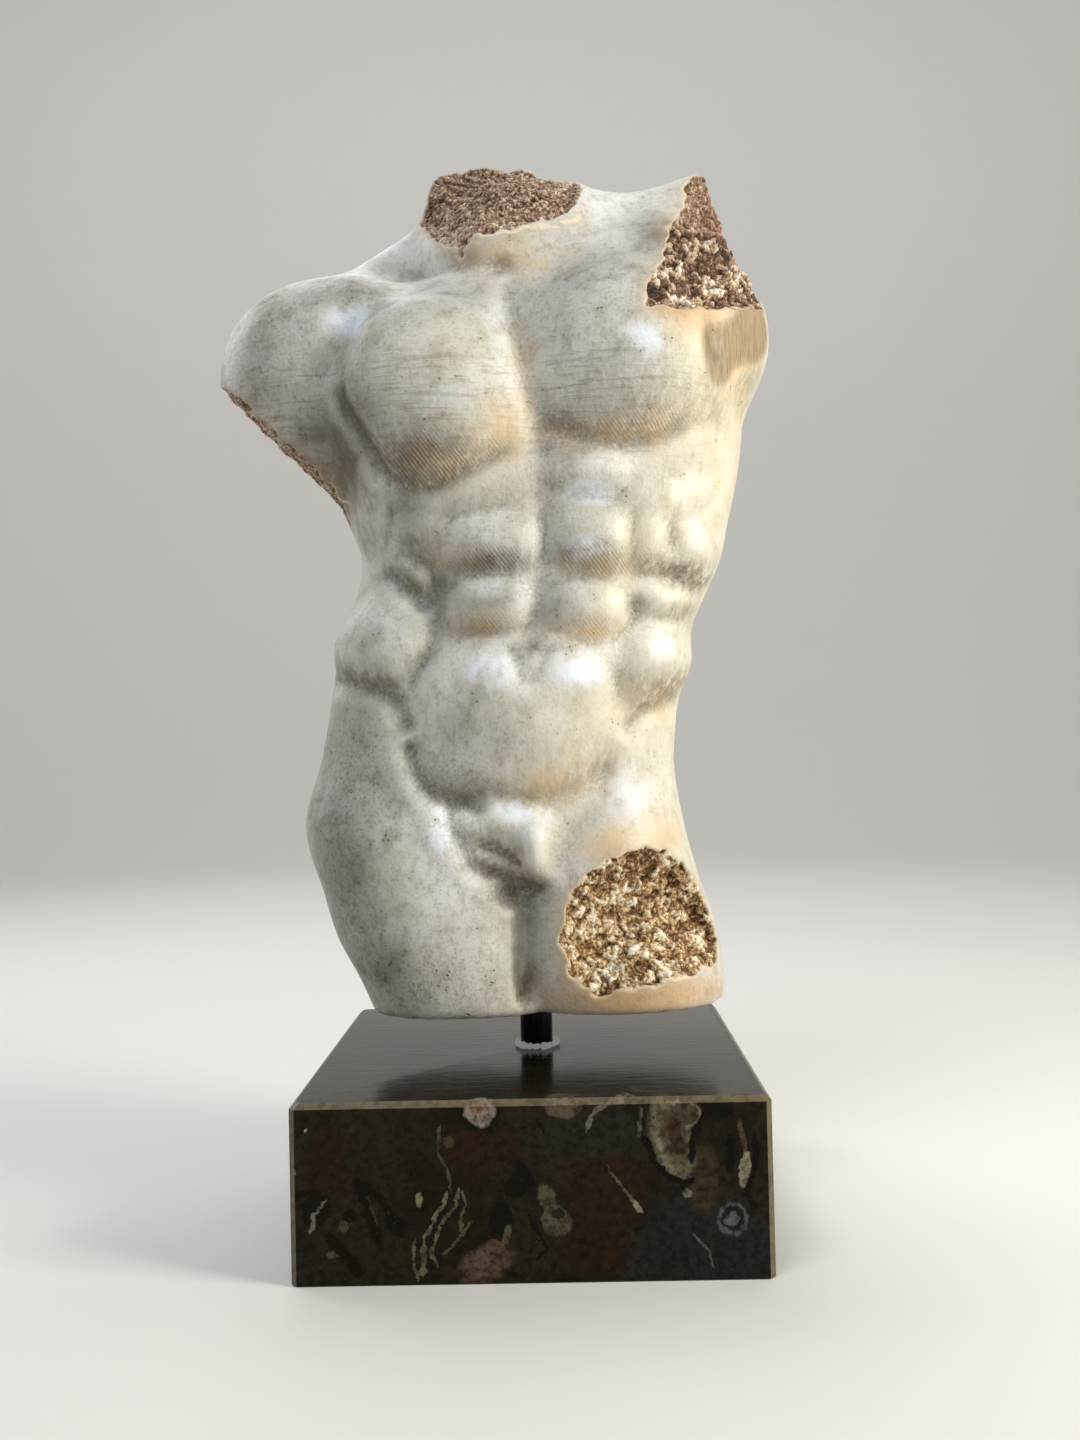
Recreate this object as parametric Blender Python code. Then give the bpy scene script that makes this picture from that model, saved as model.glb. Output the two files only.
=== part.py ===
"""A broken male torso in cast stone, carried on a steel rod above a marble plinth.

Four pieces: the torso, the rod, the ring of adhesive around the rod's foot and the plinth.
The origin is the centre of the plinth's underside, +Z is up and the torso faces -Y.
"""

import bmesh
import bpy
import numpy as np
from mathutils import Matrix, Vector

MM = 0.001
GAP = 0.3                       # between pieces that touch
PLINTH_SIDE = 160.0
PLINTH_HEIGHT = 60.0
PLINTH_CHAMFER = 2.0
ROD_DIAMETER = 12.5
ROD_X = 1.3                     # the rod stands just right of the plinth's middle
ROD_IN_PLINTH = 25.0
ROD_IN_TORSO = 38.0
RING_RADIUS = 9.0
RING_HEIGHT = 2.2
COLUMNS, ROWS = 190, 200        # grid that the torso is worked out on
TORSO_TRIANGLES = 8700          # what it is thinned to

# The figure is worked out in millimetres: +X is the viewer's right, the front faces -Y.

# Stations of the lofted forms: z, left x, right x, front y, back y.
TRUNK = (
    (110, -72, 60, -36, 40),
    (135, -80, 58, -42, 46),
    (160, -82, 57, -43, 44),
    (180, -78, 57.5, -43, 37),
    (195, -75, 59.5, -43, 32),
    (207, -73, 64, -43, 29),
    (220, -71, 64.5, -42, 28),
    (234, -65, 70.5, -41, 29),
    (247, -62, 76.5, -42, 32),
    (265, -66, 80, -43, 38),
    (285, -71, 84, -44, 45),
    (305, -74, 86, -43, 51),
    (325, -74, 86, -38, 54),
    (345, -66, 80, -29, 52),
    (365, -48, 70, -16, 44),
    (385, -34, 60, -4, 34),
)
RIGHT_THIGH = (
    (60, -56, 14, -38, 30),
    (76, -59.5, 14, -42, 33),
    (90, -65, 11, -45, 36),
    (105, -73, 10, -46, 38),
    (125, -79.3, 8, -46, 42),
    (150, -85.5, -8, -40, 44),
    (175, -80, -20, -30, 34),
)
LEFT_THIGH = (
    (60, -2, 74, -40, 30),
    (76, -6, 74, -43, 33),
    (90, -12, 73.5, -46, 36),
    (105, -15, 71.5, -48, 38),
    (125, -14, 65.5, -47, 42),
    (150, -4, 57.5, -40, 44),
    (175, 10, 54, -28, 34),
)
TRUNK_SQUARENESS, RIGHT_SQUARENESS, LEFT_SQUARENESS = 2.35, 2.6, 2.25
CHEST_FOOT = ((0, 0, 128), (0, 0, -1), 14)                  # point, facing, rounding
CHEST_TOP = ((0, 0, 385), (0, 0, 1), 20)
HIP_LINE = ((0, 0, 168), (0, 0, 1), 26)

# Rounded forms joined one after another, each ending with the width of its fillet.
#   "oval": centre, radii, lean, pitch        "bar": start, end, start radius, end radius
# A group that starts with a form of its own has no fillet there.
CHEST_FORMS = (
    ("oval", (-30, -23, 306), (41, 31, 41), 12, 6, 9),      # pectorals
    ("oval", (40, -23, 318), (41, 29, 39), -12, 6, 9),
    ("oval", (-54, 20, 285), (18, 24, 52), 8, 0, 12),       # broad back muscles
    ("oval", (66, 16, 295), (19, 26, 56), -6, 0, 12),
    ("oval", (-42, 38, 325), (30, 20, 34), 10, 0, 12),      # shoulder blades
    ("oval", (50, 36, 340), (30, 20, 36), -14, 0, 12),
)
NECK_FORMS = (
    ("bar", (-8, -5, 340), (-8, -2, 430), 26.5, 26, 0),
    ("bar", (-6, 6, 402), (0, 30, 340), 17, 26, 8),         # nape
    ("oval", (9, -4, 382), (15, 20, 22), 0, 0, 8),
    ("oval", (-17, 7, 392), (17, 18, 40), 0, 0, 6),
    ("bar", (-18, 12, 379), (-76, 8, 345), 17, 15, 12),     # trapezius
)
SHOULDER_FORMS = (
    ("bar", (6, 6, 377), (48, 5, 376), 23, 18, 0),
    ("bar", (48, 5, 376), (92, 6, 391), 18, 17, 4),
    ("bar", (2, -6, 356), (52, -4, 356), 20, 25, 12),
    ("oval", (64, -2, 344), (32, 28, 34), -6, 0, 12),
    ("oval", (78, -2, 330), (19.3, 26, 22), 0, 0, 8),
)
ARM_FORMS = (
    ("oval", (-74.5, 2, 321), (43, 33, 42), 0, 0, 0),
    ("bar", (-84, 2, 326), (-86, 0, 292), 30, 29, 6),
    ("oval", (-60, -12, 332), (26, 20, 26), 0, 0, 10),
)
BUTTOCK_FORMS = (
    ("oval", (-40, 24, 150), (39, 34, 38), 8, 0, 0),
    ("oval", (25, 24, 143), (34, 31, 35), -6, 0, 6),
)
CROTCH_FORMS = (("oval", (-1, 2, 100), (14, 26, 60), 0, 0, 6),)
NECK_FILLET, SHOULDER_FILLET, ARM_FILLET = 12, 12, 8        # where the groups meet the chest
THIGH_FILLET, HIP_FILLET, BUTTOCK_FILLET = 2, 10, 9

# Breaks and the flat sole: a point of the plane and the way it faces.
NECK_BREAK = ((-4, -3, 392.8), (0.03, -0.66, 0.75))
NECK_SPALL = ((-30, -17, 366), (-0.61, -0.71, 0.35))
NECK_LEDGE = ((-26, -21, 366), (0.60, -0.30, 0.75))
ARM_BREAK = ((-96.8, 0, 300.2), (-0.70, -0.03, -0.714))
SHOULDER_BREAK = ((76, 6, 403), (0.97, 0.0, 0.243))
SHOULDER_NOTCH = ((79, 6, 379), (0.869, 0.0, 0.495))
SHOULDER_SPALL = ((51, -42, 346), (0.590, -0.735, 0.334))
SHOULDER_LEDGE = ((50, -38, 334.5), (-0.06, -0.22, 0.97))
SHOULDER_FACET = ((84.4, -26.3, 328), (0.75, -0.66, -0.02), 1.2)
BREAK_ROUNDING = 1.6                                        # of the edges where skin meets break
BREAK_CORNER = 5                                            # of the edges between two breaks
SOLE_HEIGHT = 79.3
SOLE = ((0, 0, SOLE_HEIGHT), (0.012, 0.0, -1.0), 2)          # point, facing, rounding
THIGH_SCOOP = ((86, -90, 107), (92, 74, 56))                # centre, radii
THIGH_LEDGE = ((36, -46, 89.0), (-0.18, 0.0, 0.98))         # slopes up into the thigh

# The core line that the surface is measured from: heights and x positions.
CORE_LOW, CORE_HIGH = 112.0, 350.0
CORE_LINE = ((100, 160, 240, 290, 320, 350), (-3, -12, 6, 4, -12, -6))

# Pads on the front: centre (x, z), half sizes, height, lean in degrees (up to the right).
ABDOMEN = (
    ((-18, 271), (27, 11), 2.4, 10),
    ((25, 276.5), (18, 11), 3.2, -4),
    ((-10, 251), (20.5, 13), 4.6, 2),
    ((-36, 258), (13, 8), 2.6, -12),
    ((25.5, 252), (18, 15), 4.6, -3),
    ((-11.5, 228), (18, 11.5), 5.0, 2),
    ((24, 225.5), (17, 12), 4.8, -4),
    ((-2, 187), (41, 33), 6.0, 0),
)
FLANKS = (
    ((-57, 216), (24, 19), 5.0, 12),
    ((50, 206), (19, 17), 4.4, 8),
    ((-40.5, 241.5), (9, 5.5), 2.6, -35),
    ((53, 229), (10, 7), 2.8, 12),
    ((48, 250), (8, 12), 2.6, 12),
    ((65, 246), (8, 13), 2.8, 12),
    ((60, 268), (14, 8), 2.0, 30),
    ((66, 284), (14, 8), 1.8, 30),
)
FRONT_PADS = (
    ((-5, 149), (21, 10), 2.0, -8),
    ((-31, 146), (7, 17), 1.3, 26),
    ((-33, 351), (27, 6.5), 1.1, -4),
    ((27, 361), (28, 7), 0.9, 20),
    ((-55, 266), (7, 19), 2.4, 4),
)
# Furrows on the front: route (x, z), depth, width, share of the length that fades out.
FRONT_FURROWS = (
    (((3, 289), (-4, 283), (-15, 277), (-26, 272), (-38, 269.5), (-46, 273)), 2.8, 4.2, 0.3),
    (((-42, 271), (-50, 277), (-54, 285), (-60, 295), (-65, 304), (-65, 313)), 3.2, 2.8, 0.15),
    (((9, 296), (15, 290), (27, 285.5), (42, 285), (55, 289), (66, 299)), 2.6, 4.2, 0.2),
    (((-4, 352), (0, 335), (4, 310), (7, 290), (8, 276)), 2.1, 4.6, 0.12),
    (((8, 282), (8, 268), (8, 248), (6, 234), (3, 220), (1, 212)), 1.5, 3.8, 0.2),
    (((-48, 252), (-40, 248), (-33, 240), (-31, 228), (-34, 214), (-40, 203), (-43, 190)),
     2.4, 4.5, 0.2),
    (((42, 268), (41, 250), (40, 238), (40, 225), (37, 210), (35, 196), (34, 180)), 1.6, 4.5, 0.15),
    (((-56, 244), (-47, 239), (-39, 232), (-32, 226)), 3.0, 3.6, 0.25),
    (((-80, 205), (-66, 202), (-52, 197.5), (-45, 191), (-41, 180)), 3.2, 4.2, 0.15),
    (((35, 178), (43, 187), (53, 192), (66, 195)), 2.4, 4.4, 0.2),
    (((38, 236), (48, 239), (58, 237), (72, 233)), 2.2, 3.6, 0.25),
    (((-43, 182), (-40, 169), (-33.5, 159), (-24, 155.5), (-12, 154)), 3.2, 3.4, 0.15),
    (((-17, 153), (-4, 156), (8, 157.5), (20, 161), (30, 169), (35, 180)), 1.6, 4.6, 0.25),
    (((-31, 157), (-26, 145), (-22.5, 140), (-19.5, 135), (-15.5, 130.5), (-6, 122), (-3, 116)),
     2.6, 3.6, 0.15),
    (((-19, 142.5), (-11.5, 138.8), (-4.5, 134.7), (-2.5, 130)), 2.6, 1.9, 0.2),
    (((-16.5, 131.5), (-9.3, 130), (-1.5, 126.5), (8, 125)), 3.2, 2.0, 0.2),
    (((34, 172), (30, 164), (25, 155), (18, 146), (13, 136), (9, 127)), 1.6, 6.0, 0.2),
    (((-3.5, 119), (-4.4, 111), (-4.4, 100), (-4.4, 93), (-3, 86), (1, 81)), 0.8, 1.4, 0.1),
    (((-60, 348), (-63, 334), (-67, 320), (-68, 308)), 2.0, 6.0, 0.3),
    (((-50, 361), (-34, 359), (-19, 357), (-8, 353)), 1.6, 4.0, 0.3),
    (((71, 337), (71, 325), (74, 312)), 1.4, 3.5, 0.3),
    (((-5, 216), (-2, 207), (1, 196)), 1.2, 2.4, 0.25),
    (((11, 215), (7, 206), (2, 196)), 1.0, 2.4, 0.25),
)
# Soft rises and hollows: centre (x, z), radii, height.
FRONT_SWELLS = (
    ((-11, 203), (10, 9), 1.6),
    ((17, 204), (10, 9), 1.8),
    ((3, 211.5), (5.5, 4.5), -1.6),
    ((1.5, 205), (3, 5), -0.8),
    ((43, 225), (4, 5), -2.0),
    ((-34, 233), (5, 6), -2.0),
    ((56, 251), (3.2, 6), -1.8),
    ((57, 236.5), (5, 3.5), -1.6),
    ((-6, 355), (5, 4), -3.0),
    ((-55, 165), (6, 5), -1.5),
    ((3.5, 139), (5, 10), 4.4),
    ((-7, 151), (7, 5), 1.0),
    ((-2, 123.5), (9, 4.5), -2.6),
    ((-1, 86), (3.2, 8), -3.0),
)
BACK_PADS = (
    ((-10, 245), (14, 62), 4.5, -2),
    ((21, 245), (14, 62), 4.5, 2),
)
BACK_FURROWS = (
    (((-6, 392), (2, 345), (7, 300), (8, 260), (4, 225), (-4, 195), (-8, 172)), 5.0, 6.5, 0.12),
    (((-8, 178), (-8, 150), (-5, 120), (-3, 90), (-3, 70)), 8.0, 5.0, 0.08),
    (((-74, 348), (-66, 330), (-60, 305), (-46, 296), (-30, 298)), 2.2, 6.0, 0.3),
    (((78, 352), (80, 330), (68, 308), (48, 302), (32, 306)), 2.2, 6.0, 0.3),
)
BACK_SWELLS = (
    ((-26, 190), (6, 6), -1.8),
    ((12, 187), (6, 6), -1.8),
    ((-62, 150), (10, 16), -1.6),
    ((48, 146), (9, 15), -1.6),
)


# ---------------------------------------------------------------- building blocks

def smooth_min(a, b, blend):
    """Union of two distance fields with a fillet about `blend` wide."""
    h = np.clip(0.5 + 0.5 * (b - a) / blend, 0.0, 1.0)
    return b + (a - b) * h - blend * h * (1.0 - h)


def smooth_max(a, b, blend):
    """Intersection of two distance fields with a rounded edge."""
    return -smooth_min(-a, -b, blend)


def smoothstep(low, high, value):
    t = np.clip((value - low) / (high - low), 0.0, 1.0)
    return t * t * (3.0 - 2.0 * t)


def turned(u, w, degrees):
    """Coordinates of (u, w) in axes turned by an angle."""
    c, s = np.cos(np.radians(degrees)), np.sin(np.radians(degrees))
    return c * u + s * w, c * w - s * u


def along(z, heights, values):
    """Smooth curve through stations: cubic Hermite pieces with central slopes."""
    heights, values = np.asarray(heights, float), np.asarray(values, float)
    slopes = np.gradient(values, heights)
    i = np.clip(np.searchsorted(heights, z) - 1, 0, len(heights) - 2)
    step = heights[i + 1] - heights[i]
    t = np.clip((z - heights[i]) / step, 0.0, 1.0)
    rise = t * t * (3.0 - 2.0 * t)
    return ((1.0 - rise) * values[i] + rise * values[i + 1]
            + step * t * (1.0 - t) * ((1.0 - t) * slopes[i] - t * slopes[i + 1]))


def ellipsoid(p, centre, radii, lean=0.0, pitch=0.0):
    """Distance to an ellipsoid: lean turns it in the front plane, pitch in the side plane."""
    x, y, z = (p - np.asarray(centre, float)).T
    x, z = turned(x, z, lean)
    y, z = turned(y, z, pitch)
    a, b, c = radii
    k0 = np.sqrt((x / a) ** 2 + (y / b) ** 2 + (z / c) ** 2) + 1e-9
    k1 = np.sqrt((x / a**2) ** 2 + (y / b**2) ** 2 + (z / c**2) ** 2) + 1e-9
    return k0 * (k0 - 1.0) / k1


def limb(p, start, end, start_radius, end_radius):
    """Distance to a tapering round bar with ball ends."""
    start = np.asarray(start, float)
    axis = np.asarray(end, float) - start
    t = np.clip(((p - start) @ axis) / (axis @ axis), 0.0, 1.0)
    return np.linalg.norm(p - start - t[:, None] * axis, axis=1) - (
        start_radius + (end_radius - start_radius) * t)


def girth(p, stations, squareness):
    """Distance to a lofted form: each station is z, left x, right x, front y, back y."""
    s = np.asarray(stations, float)
    x, y, z = p.T
    left, right, front, back = (along(z, s[:, 0], s[:, k]) for k in (1, 2, 3, 4))
    u, v = x - (left + right) / 2, y - (front + back) / 2
    rho = ((np.abs(u) / ((right - left) / 2)) ** squareness
           + (np.abs(v) / ((back - front) / 2)) ** squareness) ** (1 / squareness) + 1e-9
    return np.hypot(u, v) * (1.0 - 1.0 / rho)


def plane(p, point, normal):
    """Distance beyond a plane, positive on the side that its normal points to."""
    normal = np.asarray(normal, float)
    return (p - np.asarray(point, float)) @ (normal / np.linalg.norm(normal))


# ---------------------------------------------------------------- the body's masses

FORM_KINDS = {"oval": ellipsoid, "bar": limb}


def joined(p, forms, d=None):
    """Distance to forms joined one after another, and to d if it is given."""
    for kind, *measures, fillet in forms:
        form = FORM_KINDS[kind](p, *measures)
        d = form if d is None else smooth_min(d, form, fillet)
    return d


def trimmed(p, d, point, facing, rounding):
    """A distance field cut off along a plane."""
    return smooth_max(d, plane(p, point, facing), rounding)


def ragged(p):
    """Wandering of the broken edges: crossed sine waves 10 to 20 mm long, a millimetre high."""
    x, y, z = p.T
    return (0.6 * np.sin(0.62 * x + 1.3 * np.sin(0.31 * z)) * np.sin(0.55 * z + 0.43 * y)
            + 0.5 * np.sin(0.34 * x - 0.41 * z + 0.37 * y + 2.0))


def breaks(p):
    """Distance beyond each broken surface: neck, raised shoulder, hanging arm and thigh."""
    uneven = ragged(p)
    neck = smooth_min(plane(p, *NECK_SPALL), plane(p, *NECK_LEDGE), BREAK_CORNER)
    neck = smooth_max(neck, plane(p, *NECK_BREAK), BREAK_CORNER)
    shoulder = smooth_min(plane(p, *SHOULDER_SPALL), plane(p, *SHOULDER_LEDGE), BREAK_CORNER)
    across = smooth_min(plane(p, *SHOULDER_BREAK), plane(p, *SHOULDER_NOTCH), BREAK_CORNER)
    shoulder = smooth_max(shoulder, across, BREAK_CORNER)
    ledge = 0.6 * plane(p, *THIGH_LEDGE) + 0.8 * girth(p, LEFT_THIGH, LEFT_SQUARENESS)
    thigh = smooth_min(-ellipsoid(p, *THIGH_SCOOP), ledge, BREAK_CORNER)
    return neck + uneven, shoulder + uneven, plane(p, *ARM_BREAK) + uneven, thigh + uneven


def figure(p, broken=True):
    """The whole torso; broken=False leaves the neck, arms and thigh whole at the breaks."""
    def cut(d, beyond):
        return smooth_max(d, beyond, BREAK_ROUNDING) if broken else d

    neck_break, shoulder_break, arm_break, thigh_break = breaks(p)
    trunk = trimmed(p, girth(p, TRUNK, TRUNK_SQUARENESS), *CHEST_FOOT)
    trunk = joined(p, CHEST_FORMS, trimmed(p, trunk, *CHEST_TOP))
    trunk = cut(smooth_min(trunk, joined(p, NECK_FORMS), NECK_FILLET), neck_break)
    trunk = smooth_min(trunk, joined(p, SHOULDER_FORMS), SHOULDER_FILLET)
    trunk = cut(trimmed(p, trunk, *SHOULDER_FACET), shoulder_break)
    trunk = smooth_min(trunk, cut(joined(p, ARM_FORMS), arm_break), ARM_FILLET)
    right_thigh = trimmed(p, girth(p, RIGHT_THIGH, RIGHT_SQUARENESS), *HIP_LINE)
    left_thigh = trimmed(p, girth(p, LEFT_THIGH, LEFT_SQUARENESS), *HIP_LINE)
    thighs = smooth_min(right_thigh, cut(left_thigh, thigh_break), THIGH_FILLET)
    d = smooth_min(trunk, joined(p, CROTCH_FORMS, thighs), HIP_FILLET)
    return trimmed(p, smooth_min(d, joined(p, BUTTOCK_FORMS), BUTTOCK_FILLET), *SOLE)


def break_depth(p):
    """How deep a point of the surface lies inside the unbroken body: over zero on a break."""
    return -figure(p, broken=False)


# ---------------------------------------------------------------- rays and grid

def rays(theta, t):
    """Ray for each grid place: it starts on the curved core line and fans out at both ends."""
    level = np.clip((t - 0.18) / 0.64, 0.0, 1.0)
    z = CORE_LOW + (CORE_HIGH - CORE_LOW) * level
    rise = np.where(t < 0.18, t / 0.18 - 1.0, np.where(t > 0.82, (t - 0.82) / 0.18, 0.0)) * np.pi / 2
    start = np.stack([along(z, *CORE_LINE), np.zeros_like(z), z], -1)
    flat = np.cos(rise)
    return start, np.stack([np.sin(theta) * flat, -np.cos(theta) * flat, np.sin(rise)], -1)


def cast(theta, t, steps=16):
    """Where each ray leaves the figure, found by halving an interval."""
    start, direction = rays(theta, t)
    near, far = np.zeros(len(start)), np.full(len(start), 190.0)
    for _ in range(steps):
        middle = (near + far) / 2
        inside = figure(start + direction * middle[:, None]) < 0
        near, far = np.where(inside, middle, near), np.where(inside, far, middle)
    return start + direction * ((near + far) / 2)[:, None]


def even_grid(columns, rows):
    """Ray angles and heights that space the grid evenly over the surface."""
    theta = np.linspace(0, 2 * np.pi, 121)
    t = np.linspace(0, 1, 141)
    points = cast(np.tile(theta, len(t)), np.repeat(t, len(theta)), 11).reshape(len(t), len(theta), 3)
    run = np.cumsum(np.linalg.norm(np.diff(points, axis=0), axis=2), 0)
    run = np.vstack([np.zeros(len(theta)), run]) / run[-1]
    heights = np.stack([np.interp(np.linspace(0, 1, rows + 1), run[:, j], t)
                        for j in range(len(theta))], 1)
    for _ in range(6):
        ring = heights[:, :-1]
        ring = (np.roll(ring, 1, 1) + 2 * ring + np.roll(ring, -1, 1)) / 4
        heights = np.hstack([ring, ring[:, :1]])
    points = cast(np.tile(theta, rows + 1), heights.ravel(), 11).reshape(rows + 1, len(theta), 3)
    run = np.cumsum(np.linalg.norm(np.diff(points, axis=1), axis=2) + 1e-3, 1)
    run = np.hstack([np.zeros((rows + 1, 1)), run]) / run[:, -1:]
    angles = np.stack([np.interp(np.linspace(0, 1, columns + 1), run[i], theta)
                       for i in range(rows + 1)])
    for _ in range(6):
        angles[1:-1] = (angles[:-2] + 2 * angles[1:-1] + angles[2:]) / 4
    heights = np.stack([np.interp(angles[i], theta, heights[i]) for i in range(rows + 1)])
    return angles[1:-1, :-1].ravel(), heights[1:-1, :-1].ravel()


def closed_faces(columns, rows):
    """Quads of the rings and triangle fans at the two poles, all facing outward."""
    ring = 1 + columns * np.arange(rows - 2)[:, None]
    here, after = np.arange(columns), (np.arange(columns) + 1) % columns
    quads = np.stack([ring + here, ring + after, ring + columns + after, ring + columns + here], -1)
    top, last = 1 + columns * (rows - 2), 1 + columns * (rows - 1)
    fans = np.vstack([np.stack([np.zeros_like(here), 1 + after, 1 + here], -1),
                      np.stack([top + here, top + after, np.full_like(here, last)], -1)])
    return quads.reshape(-1, 4).tolist() + fans.tolist()


def surface_normals(p, reach=0.3):
    gradient = np.stack([figure(p + reach * e) - figure(p - reach * e) for e in np.eye(3)], -1)
    return gradient / np.linalg.norm(gradient, axis=1)[:, None]


# ---------------------------------------------------------------- relief

def smooth_path(path):
    """A route through a few points, refined to a smooth curve."""
    path = np.asarray(path, float)
    place = np.arange(len(path))
    fine = np.linspace(0, len(path) - 1, 6 * (len(path) - 1) + 1)
    return np.stack([along(fine, place, path[:, k]) for k in (0, 1)], -1)


def furrow(x, z, path, depth, width, ends):
    """A valley along a path, exp(-(d / width)^2) across and fading out at its ends."""
    path = smooth_path(path)
    steps = np.diff(path, axis=0)
    lengths = np.hypot(*steps.T)
    best, place = np.full(x.shape, 1e9), np.zeros(x.shape)
    for (x0, z0), (dx, dz), length, run in zip(path, steps, lengths, np.cumsum(lengths) - lengths):
        t = np.clip(((x - x0) * dx + (z - z0) * dz) / length**2, 0.0, 1.0)
        d = np.hypot(x - x0 - t * dx, z - z0 - t * dz)
        place = np.where(d < best, (run + t * length) / lengths.sum(), place)
        best = np.minimum(best, d)
    fade = smoothstep(0, ends, place) * smoothstep(0, ends, 1 - place) if ends else 1.0
    return -depth * fade * np.exp(-(best / width) ** 2)


def pad(x, z, centre, half, height, lean=0.0, squareness=2.2):
    """A muscle belly, 1 - s^2 over a superellipse, a little fuller in its upper half."""
    u, w = turned(x - centre[0], z - centre[1], lean)
    u, w = u / half[0], w / half[1]
    s2 = (np.abs(u) ** squareness + np.abs(w) ** squareness) ** (2 / squareness)
    return height * np.clip(1 - s2, 0, 1) * (1 + 0.15 * w)


def swell(x, z, centre, radii, height):
    """A soft rise, or a hollow when its height is negative."""
    return height * np.exp(-((x - centre[0]) / radii[0]) ** 2 - ((z - centre[1]) / radii[1]) ** 2)


def front_relief(x, z):
    """Joined pads, (sum of h^4)^(1/4), then thin pads, furrows and swells added up."""
    h = sum(pad(x, z, *item) ** 4 for item in ABDOMEN + FLANKS) ** 0.25
    h = smooth_max(0.96 * h, 0.0, 3.6) - 0.9 + sum(pad(x, z, *item) for item in FRONT_PADS)
    h = h + sum(furrow(x, z, *item) for item in FRONT_FURROWS)
    return h + sum(swell(x, z, *item) for item in FRONT_SWELLS)


def back_relief(x, z):
    return (sum(pad(x, z, *item) for item in BACK_PADS)
            + sum(furrow(x, z, *item) for item in BACK_FURROWS)
            + sum(swell(x, z, *item) for item in BACK_SWELLS))


def relief(p, normal):
    """Relief height at each point: the front's and the back's, none on breaks and sole."""
    x, y, z = p.T
    front = smoothstep(0.05, 0.5, -normal[:, 1])
    back = smoothstep(0.05, 0.5, normal[:, 1])
    whole = 1 - smoothstep(-1.0, 4.0, break_depth(p))
    return (front * front_relief(x, z) + back * back_relief(x, z)) * whole * smoothstep(80, 86, z)


def carve(columns, rows):
    """Points of the finished torso on a closed grid, in millimetres."""
    angles, heights = even_grid(columns, rows)
    angles, heights = np.r_[0, angles, 0], np.r_[0, heights, 1]
    points = cast(angles, heights)
    normal = surface_normals(points)
    return points + normal * relief(points, normal)[:, None]


# ---------------------------------------------------------------- Blender objects

def material(name, colour, roughness, metallic=0.0):
    made = bpy.data.materials.new(name)
    made.use_nodes = True
    shader = made.node_tree.nodes["Principled BSDF"]
    shader.inputs["Base Color"].default_value = (*colour, 1.0)
    shader.inputs["Roughness"].default_value = roughness
    shader.inputs["Metallic"].default_value = metallic
    return made


def place(name, mesh, finish, crease=30.0):
    """Link a mesh as a named object, smooth except at edges sharper than the crease angle."""
    made = bpy.data.objects.new(name, mesh)
    bpy.context.scene.collection.objects.link(made)
    mesh.materials.append(finish)
    mesh.shade_smooth()
    mesh.set_sharp_from_angle(angle=np.radians(crease))
    return made


def cylinder_mesh(name, radius, low, high, sides=32):
    """A closed cylinder on the rod's axis; sizes in millimetres."""
    bm = bmesh.new()
    middle = Vector((ROD_X, 0.0, (low + high) / 2)) * MM
    bmesh.ops.create_cone(bm, cap_ends=True, segments=sides, radius1=radius * MM,
                          radius2=radius * MM, depth=(high - low) * MM,
                          matrix=Matrix.Translation(middle))
    mesh = bpy.data.meshes.new(name)
    bm.to_mesh(mesh)
    bm.free()
    return mesh


def drill(target, name, low, high):
    """Cut the rod's blind socket, a little wider and deeper than the rod."""
    cutter = bpy.data.objects.new(name, cylinder_mesh(name, ROD_DIAMETER / 2 + GAP, low, high))
    bpy.context.scene.collection.objects.link(cutter)
    cutter.hide_render = True
    cutter.display_type = "WIRE"
    cut = target.modifiers.new("Rod socket", "BOOLEAN")
    cut.operation = "DIFFERENCE"
    cut.solver = "EXACT"
    cut.object = cutter


def build_torso():
    mesh = bpy.data.meshes.new("torso")
    mesh.from_pydata((carve(COLUMNS, ROWS) * MM).tolist(), [], closed_faces(COLUMNS, ROWS))
    torso = place("torso", mesh, material("Aged cast stone", (0.60, 0.57, 0.48), 0.5), 50.0)
    thin = torso.modifiers.new("Thin out", "DECIMATE")
    thin.ratio = TORSO_TRIANGLES / (2 * COLUMNS * (ROWS - 1))
    drill(torso, "torso_socket", SOLE_HEIGHT - 15.0, SOLE_HEIGHT + ROD_IN_TORSO + GAP)


def build_plinth():
    """A block with its four upright and four top edges chamfered."""
    bm = bmesh.new()
    size = Matrix.Diagonal((PLINTH_SIDE * MM, PLINTH_SIDE * MM, PLINTH_HEIGHT * MM, 1.0))
    bmesh.ops.create_cube(bm, size=1.0, matrix=Matrix.Translation((0, 0, PLINTH_HEIGHT * MM / 2)) @ size)
    shown = [edge for edge in bm.edges if max(v.co.z for v in edge.verts) > 0.01]
    bmesh.ops.bevel(bm, geom=shown, offset=PLINTH_CHAMFER * MM, offset_type="OFFSET",
                    segments=1, affect="EDGES")
    mesh = bpy.data.meshes.new("plinth")
    bm.to_mesh(mesh)
    bm.free()
    plinth = place("plinth", mesh, material("Dark fossil marble", (0.05, 0.04, 0.03), 0.25))
    drill(plinth, "plinth_socket", PLINTH_HEIGHT - ROD_IN_PLINTH - GAP, PLINTH_HEIGHT + 15.0)


def build_rod():
    mesh = cylinder_mesh("rod", ROD_DIAMETER / 2, PLINTH_HEIGHT - ROD_IN_PLINTH,
                         SOLE_HEIGHT + ROD_IN_TORSO)
    place("rod", mesh, material("Blackened steel", (0.02, 0.02, 0.022), 0.35, 0.8))


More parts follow.
